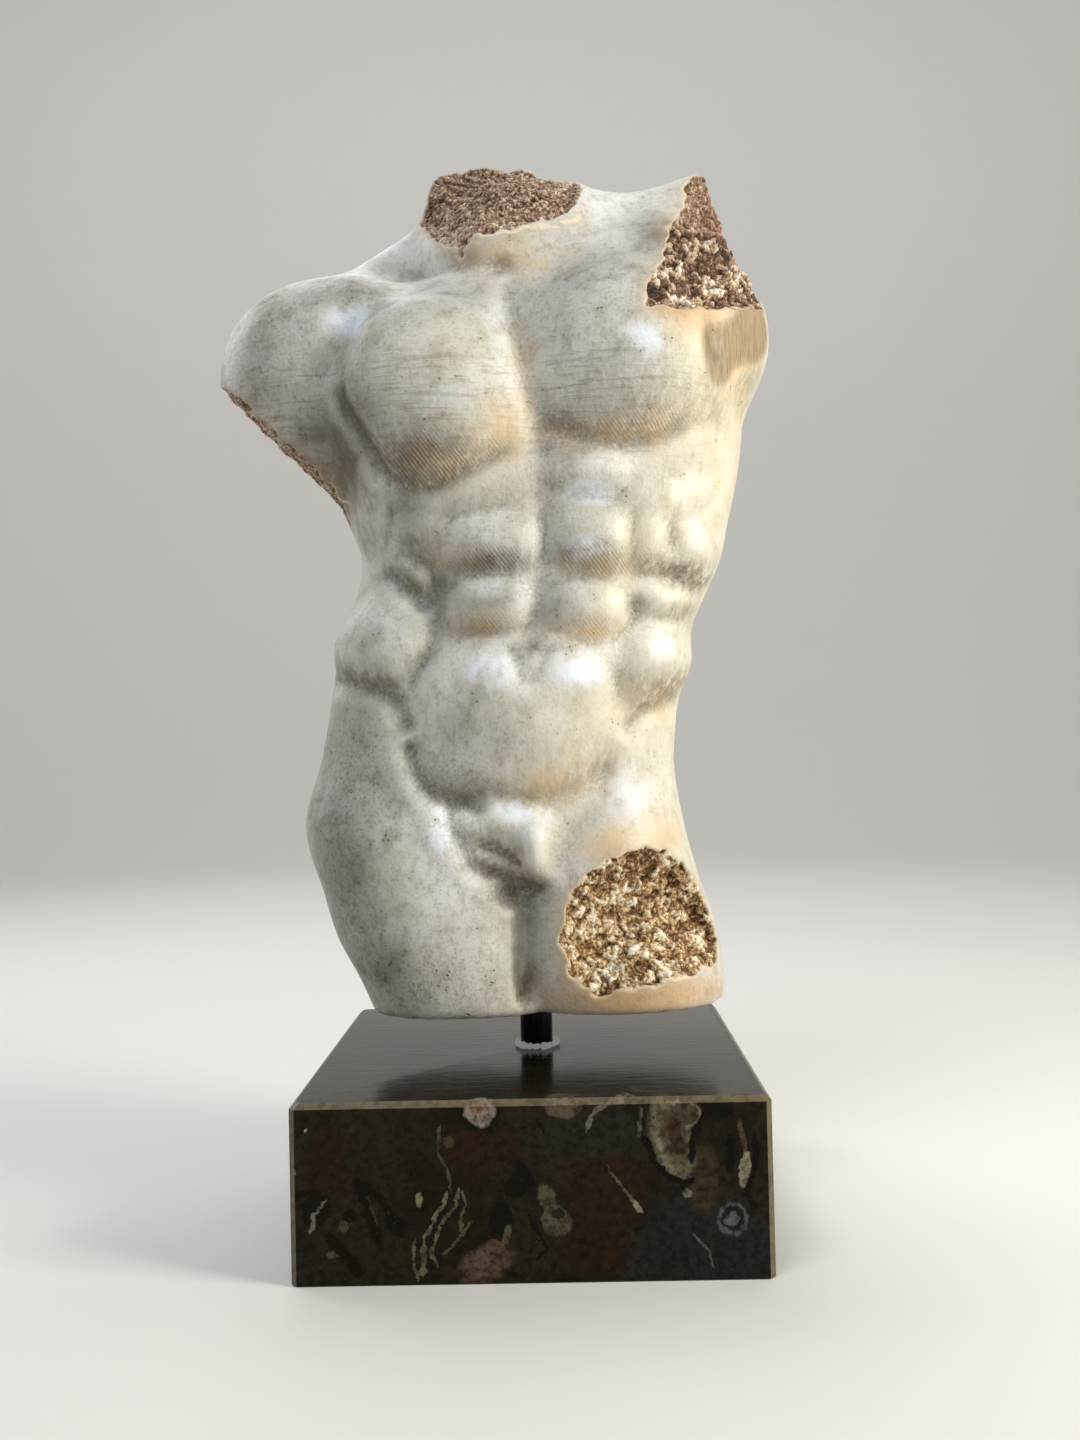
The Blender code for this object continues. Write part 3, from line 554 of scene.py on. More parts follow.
def even_grid(columns, rows):
    """Ray angles and heights that space the grid evenly over the surface.

    Lengths along a coarse grid are summed, each column and then each row is divided into equal
    lengths, and the divisions are smoothed with weights 1, 2, 1."""
    theta = np.linspace(0, 2 * np.pi, COARSE_ANGLES)
    t = np.linspace(0, 1, COARSE_LEVELS)
    points = cast(np.tile(theta, len(t)), np.repeat(t, len(theta)), COARSE_STEPS)
    points = points.reshape(len(t), len(theta), 3)
    run = np.cumsum(np.linalg.norm(np.diff(points, axis=0), axis=2), 0)
    run = np.vstack([np.zeros(len(theta)), run]) / run[-1]
    heights = np.stack([np.interp(np.linspace(0, 1, rows + 1), run[:, j], t)
                        for j in range(len(theta))], 1)
    for _ in range(SMOOTHINGS):
        ring = heights[:, :-1]
        ring = (np.roll(ring, 1, 1) + 2 * ring + np.roll(ring, -1, 1)) / 4
        heights = np.hstack([ring, ring[:, :1]])
    points = cast(np.tile(theta, rows + 1), heights.ravel(), COARSE_STEPS)
    points = points.reshape(rows + 1, len(theta), 3)
    run = np.cumsum(np.linalg.norm(np.diff(points, axis=1), axis=2) + 1e-3, 1)
    run = np.hstack([np.zeros((rows + 1, 1)), run]) / run[:, -1:]
    angles = np.stack([np.interp(np.linspace(0, 1, columns + 1), run[i], theta)
                       for i in range(rows + 1)])
    for _ in range(SMOOTHINGS):
        angles[1:-1] = (angles[:-2] + 2 * angles[1:-1] + angles[2:]) / 4
    heights = np.stack([np.interp(angles[i], theta, heights[i]) for i in range(rows + 1)])
    return angles[1:-1, :-1].ravel(), heights[1:-1, :-1].ravel()


def closed_faces(columns, rows):
    """Quads of the rings and triangle fans at the two poles, all facing outward."""
    ring = 1 + columns * np.arange(rows - 2)[:, None]
    here, after = np.arange(columns), (np.arange(columns) + 1) % columns
    quads = np.stack([ring + here, ring + after, ring + columns + after, ring + columns + here], -1)
    top, last = 1 + columns * (rows - 2), 1 + columns * (rows - 1)
    fans = np.vstack([np.stack([np.zeros_like(here), 1 + after, 1 + here], -1),
                      np.stack([top + here, top + after, np.full_like(here, last)], -1)])
    return quads.reshape(-1, 4).tolist() + fans.tolist()


def surface_normals(p, reach=0.3):
    """Unit gradient of the distance field, from differences over `reach` mm each way."""
    gradient = np.stack([figure(p + reach * e) - figure(p - reach * e) for e in np.eye(3)], -1)
    return gradient / np.linalg.norm(gradient, axis=1)[:, None]


print("a closed grid of 4 by 5 has", len(closed_faces(4, 5)), "faces")

# %% [markdown]
# ## Relief
# Muscles of the belly and flanks stand only 2 to 6 mm proud. A bump texture could fake them, but
# their shadows and outline are what the eye reads, so the skin itself moves. They are drawn as
# relief over the front: pads are raised ovals, furrows are valleys along a route of a few points,
# and swells are soft dots. The tables read like a map of the body from the front or the back.

# %% Pads, furrows and swells of the front
# Pads: centre (x, z), half sizes, height, lean.  Furrows: route, depth, width, share that fades
# out at its ends.  Swells: centre, radii, height.  All in millimetres.
ABDOMEN = (
    ((-18, 271), (27, 11), 2.4, 10),
    ((25, 276.5), (18, 11), 3.2, -4),
    ((-10, 251), (20.5, 13), 4.6, 2),
    ((-36, 258), (13, 8), 2.6, -12),
    ((25.5, 252), (18, 15), 4.6, -3),
    ((-11.5, 228), (18, 11.5), 5.0, 2),
    ((24, 225.5), (17, 12), 4.8, -4),
    ((-2, 187), (41, 33), 6.0, 0),
)
FLANKS = (
    ((-57, 216), (24, 19), 5.0, 12),
    ((50, 206), (19, 17), 4.4, 8),
    ((-40.5, 241.5), (9, 5.5), 2.6, -35),
    ((53, 229), (10, 7), 2.8, 12),
    ((48, 250), (8, 12), 2.6, 12),
    ((65, 246), (8, 13), 2.8, 12),
    ((60, 268), (14, 8), 2.0, 30),
    ((66, 284), (14, 8), 1.8, 30),
)
FRONT_PADS = (
    ((-5, 149), (21, 10), 2.0, -8),
    ((-31, 146), (7, 17), 1.3, 26),
    ((-33, 351), (27, 6.5), 1.1, -4),
    ((27, 361), (28, 7), 0.9, 20),
    ((-55, 266), (7, 19), 2.4, 4),
)
FRONT_FURROWS = (
    (((3, 289), (-4, 283), (-15, 277), (-26, 272), (-38, 269.5), (-46, 273)), 2.8, 4.2, 0.3),
    (((-42, 271), (-50, 277), (-54, 285), (-60, 295), (-65, 304), (-65, 313)), 3.2, 2.8, 0.15),
    (((9, 296), (15, 290), (27, 285.5), (42, 285), (55, 289), (66, 299)), 2.6, 4.2, 0.2),
    (((-4, 352), (0, 335), (4, 310), (7, 290), (8, 276)), 2.1, 4.6, 0.12),
    (((8, 282), (8, 268), (8, 248), (6, 234), (3, 220), (1, 212)), 1.5, 3.8, 0.2),
    (((-48, 252), (-40, 248), (-33, 240), (-31, 228), (-34, 214), (-40, 203), (-43, 190)),
     2.4, 4.5, 0.2),
    (((42, 268), (41, 250), (40, 238), (40, 225), (37, 210), (35, 196), (34, 180)), 1.6, 4.5, 0.15),
    (((-56, 244), (-47, 239), (-39, 232), (-32, 226)), 3.0, 3.6, 0.25),
    (((-80, 205), (-66, 202), (-52, 197.5), (-45, 191), (-41, 180)), 3.2, 4.2, 0.15),
    (((35, 178), (43, 187), (53, 192), (66, 195)), 2.4, 4.4, 0.2),
    (((38, 236), (48, 239), (58, 237), (72, 233)), 2.2, 3.6, 0.25),
    (((-43, 182), (-40, 169), (-33.5, 159), (-24, 155.5), (-12, 154)), 3.2, 3.4, 0.15),
    (((-17, 153), (-4, 156), (8, 157.5), (20, 161), (30, 169), (35, 180)), 1.6, 4.6, 0.25),
    (((-31, 157), (-26, 145), (-22.5, 140), (-19.5, 135), (-15.5, 130.5), (-6, 122), (-3, 116)),
     2.6, 3.6, 0.15),
    (((-19, 142.5), (-11.5, 138.8), (-4.5, 134.7), (-2.5, 130)), 2.6, 1.9, 0.2),
    (((-16.5, 131.5), (-9.3, 130), (-1.5, 126.5), (8, 125)), 3.2, 2.0, 0.2),
    (((34, 172), (30, 164), (25, 155), (18, 146), (13, 136), (9, 127)), 1.6, 6.0, 0.2),
    (((-3.5, 119), (-4.4, 111), (-4.4, 100), (-4.4, 93), (-3, 86), (1, 81)), 0.8, 1.4, 0.1),
    (((-60, 348), (-63, 334), (-67, 320), (-68, 308)), 2.0, 6.0, 0.3),
    (((-50, 361), (-34, 359), (-19, 357), (-8, 353)), 1.6, 4.0, 0.3),
    (((71, 337), (71, 325), (74, 312)), 1.4, 3.5, 0.3),
    (((-5, 216), (-2, 207), (1, 196)), 1.2, 2.4, 0.25),
    (((11, 215), (7, 206), (2, 196)), 1.0, 2.4, 0.25),
)
FRONT_SWELLS = (
    ((-11, 203), (10, 9), 1.6),
    ((17, 204), (10, 9), 1.8),
    ((3, 211.5), (5.5, 4.5), -1.6),
    ((1.5, 205), (3, 5), -0.8),
    ((43, 225), (4, 5), -2.0),
    ((-34, 233), (5, 6), -2.0),
    ((56, 251), (3.2, 6), -1.8),
    ((57, 236.5), (5, 3.5), -1.6),
    ((-6, 355), (5, 4), -3.0),
    ((-55, 165), (6, 5), -1.5),
    ((3.5, 139), (5, 10), 4.4),
    ((-7, 151), (7, 5), 1.0),
    ((-2, 123.5), (9, 4.5), -2.6),
    ((-1, 86), (3.2, 8), -3.0),
)
print(len(FRONT_FURROWS), "furrows, up to", max(item[1] for item in FRONT_FURROWS), "mm deep")

# %% Pads, furrows and swells of the back
BACK_PADS = (
    ((-10, 245), (14, 62), 4.5, -2),
    ((21, 245), (14, 62), 4.5, 2),
)
BACK_FURROWS = (
    (((-6, 392), (2, 345), (7, 300), (8, 260), (4, 225), (-4, 195), (-8, 172)), 5.0, 6.5, 0.12),
    (((-8, 178), (-8, 150), (-5, 120), (-3, 90), (-3, 70)), 8.0, 5.0, 0.08),
    (((-74, 348), (-66, 330), (-60, 305), (-46, 296), (-30, 298)), 2.2, 6.0, 0.3),
    (((78, 352), (80, 330), (68, 308), (48, 302), (32, 306)), 2.2, 6.0, 0.3),
)
BACK_SWELLS = (
    ((-26, 190), (6, 6), -1.8),
    ((12, 187), (6, 6), -1.8),
    ((-62, 150), (10, 16), -1.6),
    ((48, 146), (9, 15), -1.6),
)
print(len(BACK_FURROWS), "furrows on the back")

# %% Relief functions


def smooth_path(path):
    """A route through a few points, refined to cubic Hermite curves of six steps a piece."""
    path = np.asarray(path, float)
    place = np.arange(len(path))
    fine = np.linspace(0, len(path) - 1, 6 * (len(path) - 1) + 1)
    return np.stack([along(fine, place, path[:, k]) for k in (0, 1)], -1)


def furrow(x, z, path, depth, width, ends):
    """A valley along a path, -depth exp(-(d / width)^2) across, fading out at its ends."""
    path = smooth_path(path)
    steps = np.diff(path, axis=0)
    lengths = np.hypot(*steps.T)
    best, place = np.full(x.shape, 1e9), np.zeros(x.shape)
    for (x0, z0), (dx, dz), length, run in zip(path, steps, lengths, np.cumsum(lengths) - lengths):
        t = np.clip(((x - x0) * dx + (z - z0) * dz) / length**2, 0.0, 1.0)
        d = np.hypot(x - x0 - t * dx, z - z0 - t * dz)
        place = np.where(d < best, (run + t * length) / lengths.sum(), place)
        best = np.minimum(best, d)
    fade = smoothstep(0, ends, place) * smoothstep(0, ends, 1 - place) if ends else 1.0
    return -depth * fade * np.exp(-(best / width) ** 2)


def pad(x, z, centre, half, height, lean=0.0, squareness=2.2):
    """A muscle belly, 1 - s^2 over a superellipse, a little fuller in its upper half."""
    u, w = turned(x - centre[0], z - centre[1], lean)
    u, w = u / half[0], w / half[1]
    s2 = (np.abs(u) ** squareness + np.abs(w) ** squareness) ** (2 / squareness)
    return height * np.clip(1 - s2, 0, 1) * (1 + 0.15 * w)


def swell(x, z, centre, radii, height):
    """A soft rise, height exp(-(dx / rx)^2 - (dz / rz)^2), or a hollow when height is negative."""
    return height * np.exp(-((x - centre[0]) / radii[0]) ** 2 - ((z - centre[1]) / radii[1]) ** 2)


def front_relief(x, z):
    """Joined pads, (sum of h^4)^(1/4), then thin pads, furrows and swells added up."""
    h = sum(pad(x, z, *item) ** 4 for item in ABDOMEN + FLANKS) ** 0.25
    h = smooth_max(0.96 * h, 0.0, 3.6) - 0.9 + sum(pad(x, z, *item) for item in FRONT_PADS)
    h = h + sum(furrow(x, z, *item) for item in FRONT_FURROWS)
    return h + sum(swell(x, z, *item) for item in FRONT_SWELLS)


def back_relief(x, z):
    """The back's pads, furrows and swells added up."""
    return (sum(pad(x, z, *item) for item in BACK_PADS)
            + sum(furrow(x, z, *item) for item in BACK_FURROWS)
            + sum(swell(x, z, *item) for item in BACK_SWELLS))


def relief(p, normal):
    """Relief height at each point: the front's and the back's, none on breaks and sole."""
    x, y, z = p.T
    front = smoothstep(0.05, 0.5, -normal[:, 1])
    back = smoothstep(0.05, 0.5, normal[:, 1])
    whole = 1 - smoothstep(-1.0, 4.0, break_depth(p))
    return (front * front_relief(x, z) + back * back_relief(x, z)) * whole * smoothstep(80, 86, z)


print("the navel lies", -front_relief(np.array([3.0]), np.array([211.0]))[0].round(2), "mm deep")

# %% [markdown]
# ## Broken stone
# Where crushed marble breaks, it parts round its grains. Loose grains could be scattered over the
# break as instances, but they would look poured on. Here grain centres sit one to a cell of a
# jumbled lattice; each point of the break belongs to its nearest centre, takes that grain's
# random height and tilt, and sinks at the joints between grains. Two sizes, 2.7 mm and 1.15 mm,
# are laid over each other.

# %% Grains
COARSE_GRAIN, FINE_GRAIN = 2.7, 1.15        # millimetres
JOINT_WIDTH = 0.2                           # as a share of the grain
MEAN_HEIGHT = 0.3                           # millimetres taken off, so that the break keeps its place


def hashed(cell, channel):
    """A repeatable number from 0 to 1 for each whole-number cell: primes, xor and a shift."""
    i, j, k = cell.astype(np.int64).T
    mixed = (i * 73856093) ^ (j * 19349663) ^ (k * 83492791) ^ (channel * 26544357)
    mixed = (mixed ^ (mixed >> 13)) * 1274126177
    return ((mixed ^ (mixed >> 16)) & 0xFFFFFF) / 0xFFFFFF


def grains(p, size):
    """Height of grain tops, tone and joint distance, in units of the grain size.

    The nearest of 27 cell centres owns the point; the joint is second less first distance."""
    q = p / size
    home = np.floor(q)
    first, second = np.full(len(p), 9.0), np.full(len(p), 9.0)
    tone, tilt = np.zeros(len(p)), np.zeros(len(p))
    for offset in np.ndindex(3, 3, 3):
        cell = home + np.array(offset) - 1
        away = q - cell - np.stack([hashed(cell, k) for k in range(3)], -1)
        d = np.linalg.norm(away, axis=1)
        nearer = d < first
        second = np.where(nearer, first, np.minimum(second, d))
        slope = np.stack([hashed(cell, k) - 0.5 for k in (3, 4, 5)], -1)
        tilt = np.where(nearer, (away * slope).sum(1), tilt)
        tone = np.where(nearer, hashed(cell, 6), tone)
        first = np.minimum(first, d)
    return tone - 0.5 + 1.8 * tilt, tone, second - first


def coarseness(p):
    """Share of large grains: 1 in the shoulder's hollow, 0.65 on the thigh, 0.4 elsewhere."""
    x, y, z = p.T
    shoulder = smoothstep(36, 42, x) * smoothstep(325, 332, z)
    thigh = smoothstep(0, 6, x) * smoothstep(165, 155, z)
    return 0.4 + 0.25 * thigh + shoulder * (0.6 - 0.75 * smoothstep(368, 380, z))


def broken_surface(p):
    """Height in mm of the broken surface, its level from 0 to 1, and each grain's tone.

    Height = share (coarse grains, less their joints, plus slow lumps) + fine grains, less theirs."""
    x, y, z = p.T
    share = coarseness(p)
    coarse, tone, joint = grains(p + 0.7 * np.sin(p[:, [1, 2, 0]] / 1.3), COARSE_GRAIN)
    fine, fine_tone, fine_joint = grains(p + 0.2 * np.sin(p[:, [2, 0, 1]] / 0.5), FINE_GRAIN)
    lumps = np.sin(x / 3.9 + 1.2) * np.sin(z / 3.4 + 0.9 * np.sin(y / 3.0)) * 0.5
    height = (share * (1.25 * coarse - 0.8 * np.exp(-(joint / JOINT_WIDTH) ** 2) + lumps)
              + 0.45 * fine - 0.3 * np.exp(-(fine_joint / JOINT_WIDTH) ** 2))
    return height - MEAN_HEIGHT, np.clip(0.5 + height / 2.2, 0, 1), share * tone + (1 - share) * fine_tone


print("grain joints from", grains(np.zeros((1, 3)), 3.0)[2])

# %% [markdown]
# ## Mesh of the torso
# An even grid of 1.6 mm squares is enough for skin, but a 3 mm grain needs finer ones, so the
# squares that lie on a break are cut into nine, and the long ones of those once more. A
# Subdivision Surface would cut the whole skin and round it off. Here every corner carries its
# own ray (angle and level), so each new corner is cast again onto the true surface.

# %% Adaptive grid
COLUMNS, ROWS = ((206, 196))
BREAK_FROM = 0.15                           # mm inside the unbroken body, where a break begins
CUTS, LONG_EDGE_LIMIT = 2, 1.0              # new corners on each edge; mm past which it is cut again


def grid_with_fine_breaks():
    """The closed grid as a mesh whose corners carry sine and cosine of angle, and level."""
    angles, levels = even_grid(COLUMNS, ROWS)
    angles, levels = np.r_[0, angles, 0], np.r_[0, levels, 1]
    points = cast(angles, levels)
    mesh = bpy.data.meshes.new("torso")
    mesh.from_pydata(points.tolist(), [], closed_faces(COLUMNS, ROWS))
    rays_of = {"ray_sine": np.sin(angles), "ray_cosine": np.cos(angles), "ray_level": levels}
    for name, values in rays_of.items():
        mesh.attributes.new(name, "FLOAT", "POINT").data.foreach_set("value", values.astype(np.float32))
    fine = mesh.attributes.new("fine", "BOOLEAN", "POINT")
    fine.data.foreach_set("value", break_depth(points) > BREAK_FROM)
    return mesh


def cut_finer(mesh, longest, cuts):
    """Cut the edges longer than a limit, in mm, round every corner marked as broken stone."""
    bm = bmesh.new()
    bm.from_mesh(mesh)
    marked = bm.verts.layers.bool.get("fine")
    faces = {face for vert in bm.verts if vert[marked] for face in vert.link_faces}
    near = {edge for face in faces for edge in face.edges if edge.calc_length() > longest}
    edges = sorted(near, key=lambda edge: edge.index)
    bmesh.ops.subdivide_edges(bm, edges=edges, cuts=cuts, use_grid_fill=True)
    bm.to_mesh(mesh)
    bm.free()


def cast_again(mesh, steps):
    """Put every corner back on the exact surface by its own ray."""
    angles = np.arctan2(values_of(mesh, "ray_sine"), values_of(mesh, "ray_cosine"))
    points = cast(angles, values_of(mesh, "ray_level"), steps)
    mesh.vertices.foreach_set("co", points.astype(np.float32).ravel())
    return points


def values_of(mesh, name):
    """One attribute of a mesh as an array."""
    values = np.zeros(len(mesh.vertices), np.float32)
    mesh.attributes[name].data.foreach_get("value", values)
    return values.astype(float)


print("the grid starts with", COLUMNS, "columns and", ROWS, "rows")

# %% Casting the skin
torso_mesh = grid_with_fine_breaks()
cut_finer(torso_mesh, 0.0, CUTS)
cast_again(torso_mesh, 14)
cut_finer(torso_mesh, LONG_EDGE_LIMIT, CUTS)
skin = cast_again(torso_mesh, 20)
normal = surface_normals(skin)
print(len(skin), "corners,", sum(len(face.vertices) - 2 for face in torso_mesh.polygons), "triangles")

# %% [markdown]
# ## Wear, dirt and painted light, as masks
# Age is not even: dirt stays in furrows, rust-coloured stain gathers under ledges, raised places
# are rubbed pale. Some masks also paint light and shade into the colour: shade in furrows,
# creases and on whatever faces down, warm light on what faces right, and a cool sheen where the
# stone faces up. The masks could be brushed on as vertex paint, but a number can be changed
# later. Each effect is a value from 0 to 1 stored on the mesh, worked out from the same relief
# that shapes it, or from a table of soft spots, so that it always lies where the form says.

# %% Stains: warm spots, and dark ones of dirt and painted shade in creases
# Each spot is its centre (x, z), its radii in millimetres and its strength.
OCHRE_STAINS = (
    ((-6, 289), (10, 11), 0.7), ((-28, 279), (16, 6), 0.55), ((47, 289), (12, 7), 0.8),
    ((24, 288), (18, 5), 0.5), ((66, 328), (14, 9), 0.75), ((84, 322), (12, 16), 0.9),
    ((26, 218), (12, 6), 0.7), ((-12, 220), (14, 5), 0.45), ((12, 164), (17, 8), 0.75),
    ((46, 192), (14, 7), 0.5), ((12, 92), (7, 10), 0.6), ((-10, 360), (16, 7), 0.5),
    ((10, 357), (15, 6), 0.6), ((-26, 247), (10, 6), 0.35), ((30, 146), (12, 6), 0.55),
    ((48, 148), (12, 5), 0.45), ((3, 296), (4, 12), 0.5), ((3, 322), (5, 13), 0.5),
    ((29, 241), (10, 4), 0.6),
)
# Dark spots: dirt, and painted shade in the armpit, under the pectorals and in the creases of groin and
# flanks.
DARK_STAINS_AND_SHADE = (
    ((-41, 274), (8, 6), 0.8), ((13, 292), (9, 9), 0.75), ((-57, 200), (12, 4), 0.6),
    ((-27, 166), (13, 9), 0.5), ((-2, 124), (10, 5.5), 1.0), ((-12, 133), (6, 2.5), 0.5),
    ((-24, 143), (6, 8), 0.5), ((-8, 356), (9, 4), 0.6), ((12, 268), (8, 10), 0.4),
    ((-41, 243), (8, 10), 0.5), ((56, 247), (5, 9), 0.45), ((-70, 112), (14, 30), 0.25),
    ((-66, 160), (12, 24), 0.3), ((-100, 318), (12, 16), 0.35), ((-62, 296), (8, 18), 0.5),
    ((-30, 96), (22, 12), 0.25), ((-2, 118), (5, 6), 0.8), ((-10, 123), (7, 5), 0.6),
    ((-14, 135), (8, 5), 0.45), ((16, 289), (8, 6), 0.5),
)
print(len(OCHRE_STAINS), "ochre spots and", len(DARK_STAINS_AND_SHADE), "dark ones")

# %% Stains: cream (partly painted warm light), rust and flecks
CREAM_STAINS_AND_WARM_LIGHT = (
    ((76, 300), (16, 55), 0.95), ((60, 255), (14, 34), 0.7), ((26, 184), (22, 20), 0.75),
    ((56, 190), (16, 22), 0.6), ((60, 140), (14, 30), 0.5), ((40, 112), (26, 14), 0.35),
    ((-6, 289), (12, 12), 0.8), ((36, 232), (10, 16), 0.5), ((-22, 100), (16, 20), 0.25),
    ((5, 142), (7, 12), 0.7), ((-15, 268), (24, 8), 0.3), ((-30, 322), (24, 12), 0.25),
)
FLECKED_SKIN = (
    ((-62, 165), (14, 26), 0.7), ((-66, 118), (12, 26), 0.7), ((-45, 95), (26, 14), 1.0),
    ((-78, 200), (10, 20), 0.5), ((-30, 330), (34, 16), 0.35), ((36, 335), (18, 16), 0.5),
    ((-90, 330), (22, 20), 0.4), ((10, 340), (8, 30), 0.3), ((-30, 150), (6, 12), 0.8),
)
RUST_STAINS = (
    ((42, 85), (34, 5.5), 1.0), ((52, 88), (8, 4), 0.8), ((28, 87), (10, 5), 0.7),
    ((66, 334), (10, 4), 0.6), ((58, 331), (8, 5), 0.5), ((28, 140), (9, 5), 0.5),
    ((50, 142), (9, 4), 0.6), ((16, 112), (4, 16), 0.4),
)
print(len(CREAM_STAINS_AND_WARM_LIGHT), "cream spots,", len(RUST_STAINS), "of rust")

# %% Film and painted shade, fresh grains, rubbed places and painted sheen
# Four more tables of spots: thin grey film that also paints shade into the armpit, under the
# pectorals and between the thighs, grains bared not long ago, places buffed to cream with a
# painted warm highlight, and painted highlights of a cool sheen.
GREY_FILM_AND_SHADE = (
    ((-92, 332), (20, 16), 0.42), ((-94, 308), (12, 11), 0.35), ((-27, 341), (24, 11), 0.62),
    ((-60, 352), (24, 12), 0.75), ((-36, 282), (17, 5), 0.75), ((4, 325), (5, 14), 0.35),
    ((30, 294), (18, 5), 0.30), ((31, 353), (22, 12), 0.80), ((-15, 243), (11, 4), 1.0),
    ((29, 242), (11, 4), 0.78), ((29, 264), (10, 7), 0.30), ((-11, 229), (12, 6), 0.90),
    ((-15, 219), (12, 4), 0.85), ((21, 220), (11, 4), 0.30), ((-9, 179), (14, 11), 0.30),
    ((-20, 161), (18, 5), 0.78), ((-62, 304), (7, 24), 0.60), ((-67, 180), (12, 14), 0.22),
    ((-68, 136), (17, 30), 0.78), ((-54, 98), (20, 18), 0.68), ((4, 99), (4, 18), 0.30),
    ((34, 156), (14, 12), 0.30), ((-3, 101), (5, 19), 0.85), ((-74, 294), (13, 10), 0.85),
    ((-14, 135), (8, 6), 0.85), ((-9, 122), (8, 7), 0.75), ((-40, 263), (9, 6), 0.85),
    ((18, 283), (12, 5), 0.80), ((21, 247), (9, 5), 0.85), ((53, 370), (10, 14), 0.90),
    ((-36, 227), (8, 7), 0.70), ((-28, 235), (6, 6), 0.70), ((-2, 116), (6, 7), 0.95),
    ((-62, 288), (10, 14), 0.80), ((-72, 304), (9, 8), 0.45), ((6, 218), (5, 8), 0.60),
    ((-41, 241), (8, 11), 0.60), ((-56, 195), (10, 7), 0.50), ((12, 296), (7, 7), 0.45),
    ((-52, 161), (9, 10), 0.35), ((0, 211), (6, 5), 0.45), ((-23, 183), (10, 8), 0.45),
    ((14, 229), (6, 8), 0.55), ((-3, 88), (5, 7), 0.50),
)
BARED_GRAINS = (
    ((18, 101), (9, 8), 1.0), ((32, 97), (16, 6), 0.9), ((27, 124), (6, 8), 0.4),
    ((-24, 370), (10, 14), 1.0), ((-12, 374), (10, 10), 0.6), ((-27, 373), (8, 8), 0.8),
    ((28, 115), (28, 26), 0.45),
)
# Cream where a cloth has buffed, with a painted warm highlight.
BUFFED_AND_LIT_PLACES = (
    ((60, 294), (9, 10), 0.8), ((43, 250), (7, 11), 0.7), ((-6, 284), (7, 6), 0.6),
    ((40, 141), (14, 6), 0.6), ((3, 137), (6, 8), 0.6),
)
# Painted highlights: pale spots of cool sheen where the stone faces up to the light.
PAINTED_SHEEN_PATCHES = (
    ((-5, 330), (9, 26), 0.4), ((-62, 336), (12, 9), 0.7), ((26, 268), (14, 6), 0.7),
    ((-12, 204), (11, 9), 0.8), ((19, 203), (12, 9), 0.7), ((36, 158), (14, 18), 0.5),
    ((45, 320), (12, 9), 0.7), ((24, 248), (11, 7), 0.6), ((-14, 250), (12, 8), 0.4),
    ((-12, 232), (10, 6), 0.4), ((-31, 147), (4, 10), 1.0), ((3, 149), (9, 7), 0.9),
    ((3, 136), (4, 7), 0.8), ((-7, 154), (6, 4), 0.8), ((50, 212), (8, 9), 0.5),
    ((-52, 222), (10, 9), 0.4), ((-26, 300), (20, 14), 0.4),
)
print(len(GREY_FILM_AND_SHADE), "spots of film,", len(PAINTED_SHEEN_PATCHES), "patches that shine")

# %% Tool marks, and how spots add up
TOOL_MARKS = (      # where the file's strokes were left
    ((-30, 281), (20, 8), 1.0), ((-12, 245), (15, 9), 0.9), ((28, 243), (14, 9), 0.8),
    ((-8, 223), (12, 8), 0.7), ((24, 220), (12, 8), 0.7), ((-28, 168), (16, 12), 0.7),
    ((-88, 330), (12, 16), 0.5), ((44, 292), (18, 6), 0.5),
)


def blots(x, z, table):
    """Overlapping soft spots: 1 less the product of what each one leaves."""
    left = np.ones_like(x)
    for centre, radii, strength in table:
        left *= 1 - swell(x, z, centre, radii, strength)
    return 1 - left


x, y, z = skin.T
print("film covers", blots(x, z, GREY_FILM_AND_SHADE).mean().round(3), "of the skin")

# %% Rims of the breaks
RIM_REACH = 3                               # mm over which the worn rim fades


def break_rims(p):
    """Nearness to each broken edge on the skin: exp(-distance / reach), in its own region."""
    x, y, z = p.T
    neck, shoulder, arm, thigh = (np.exp(-np.abs(d) / RIM_REACH) for d in breaks(p))
    rim = neck * smoothstep(335, 355, z) * smoothstep(32, 24, x)
    rim = np.maximum(rim, shoulder * smoothstep(325, 332, z) * smoothstep(38, 46, x))
    rim = np.maximum(rim, arm * smoothstep(-58, -66, x))
    return np.maximum(rim, thigh * smoothstep(4, 12, x) * smoothstep(160, 150, z))


rim = break_rims(skin)
print("rims reach", (rim > 0.5).mean().round(3), "of the skin")

# %% What the form itself says
FURROW_PROBE, SLOPE_PROBE = 2.5, 1.5        # mm to each side, where the relief is compared
DEEP_FURROW, FULL_RIDGE = 0.5, 0.35         # mm below or above what is around, for a full mask
BACK_DIRT_AND_SHADE = 0.05                            # the back's furrows are wide, and get little dirt and painted shade

front = smoothstep(0.0, 0.5, -normal[:, 1])
broken = smoothstep(0.3, 0.8, break_depth(skin)) * smoothstep(SOLE_HEIGHT + 0.5, SOLE_HEIGHT + 1.7, z)
whole = 1 - broken
grain_height, grain_level, grain_tone = broken_surface(skin)
height = relief(skin, normal)
probes = FURROW_PROBE * np.array([(1, 0), (-1, 0), (0, 1), (0, -1)])
cavity = sum(front_relief(x + u, z + w) for u, w in probes) / 4 - front_relief(x, z)
back_furrows = sum(furrow(x, z, *item) for item in BACK_FURROWS)
cavity = cavity * front - BACK_DIRT_AND_SHADE * back_furrows * (1 - front)
carved = skin + normal * height[:, None]
slope = (front_relief(x, z + SLOPE_PROBE) - front_relief(x, z - SLOPE_PROBE)) / (2 * SLOPE_PROBE)
# What faces down is browned later: brown stain and painted shade, as if lit from above.
facing_down = smoothstep(-0.05, 0.75, slope - normal[:, 2]) * front * smoothstep(84, 120, z)
print("relief from", height.min().round(1), "to", height.max().round(1), "mm")

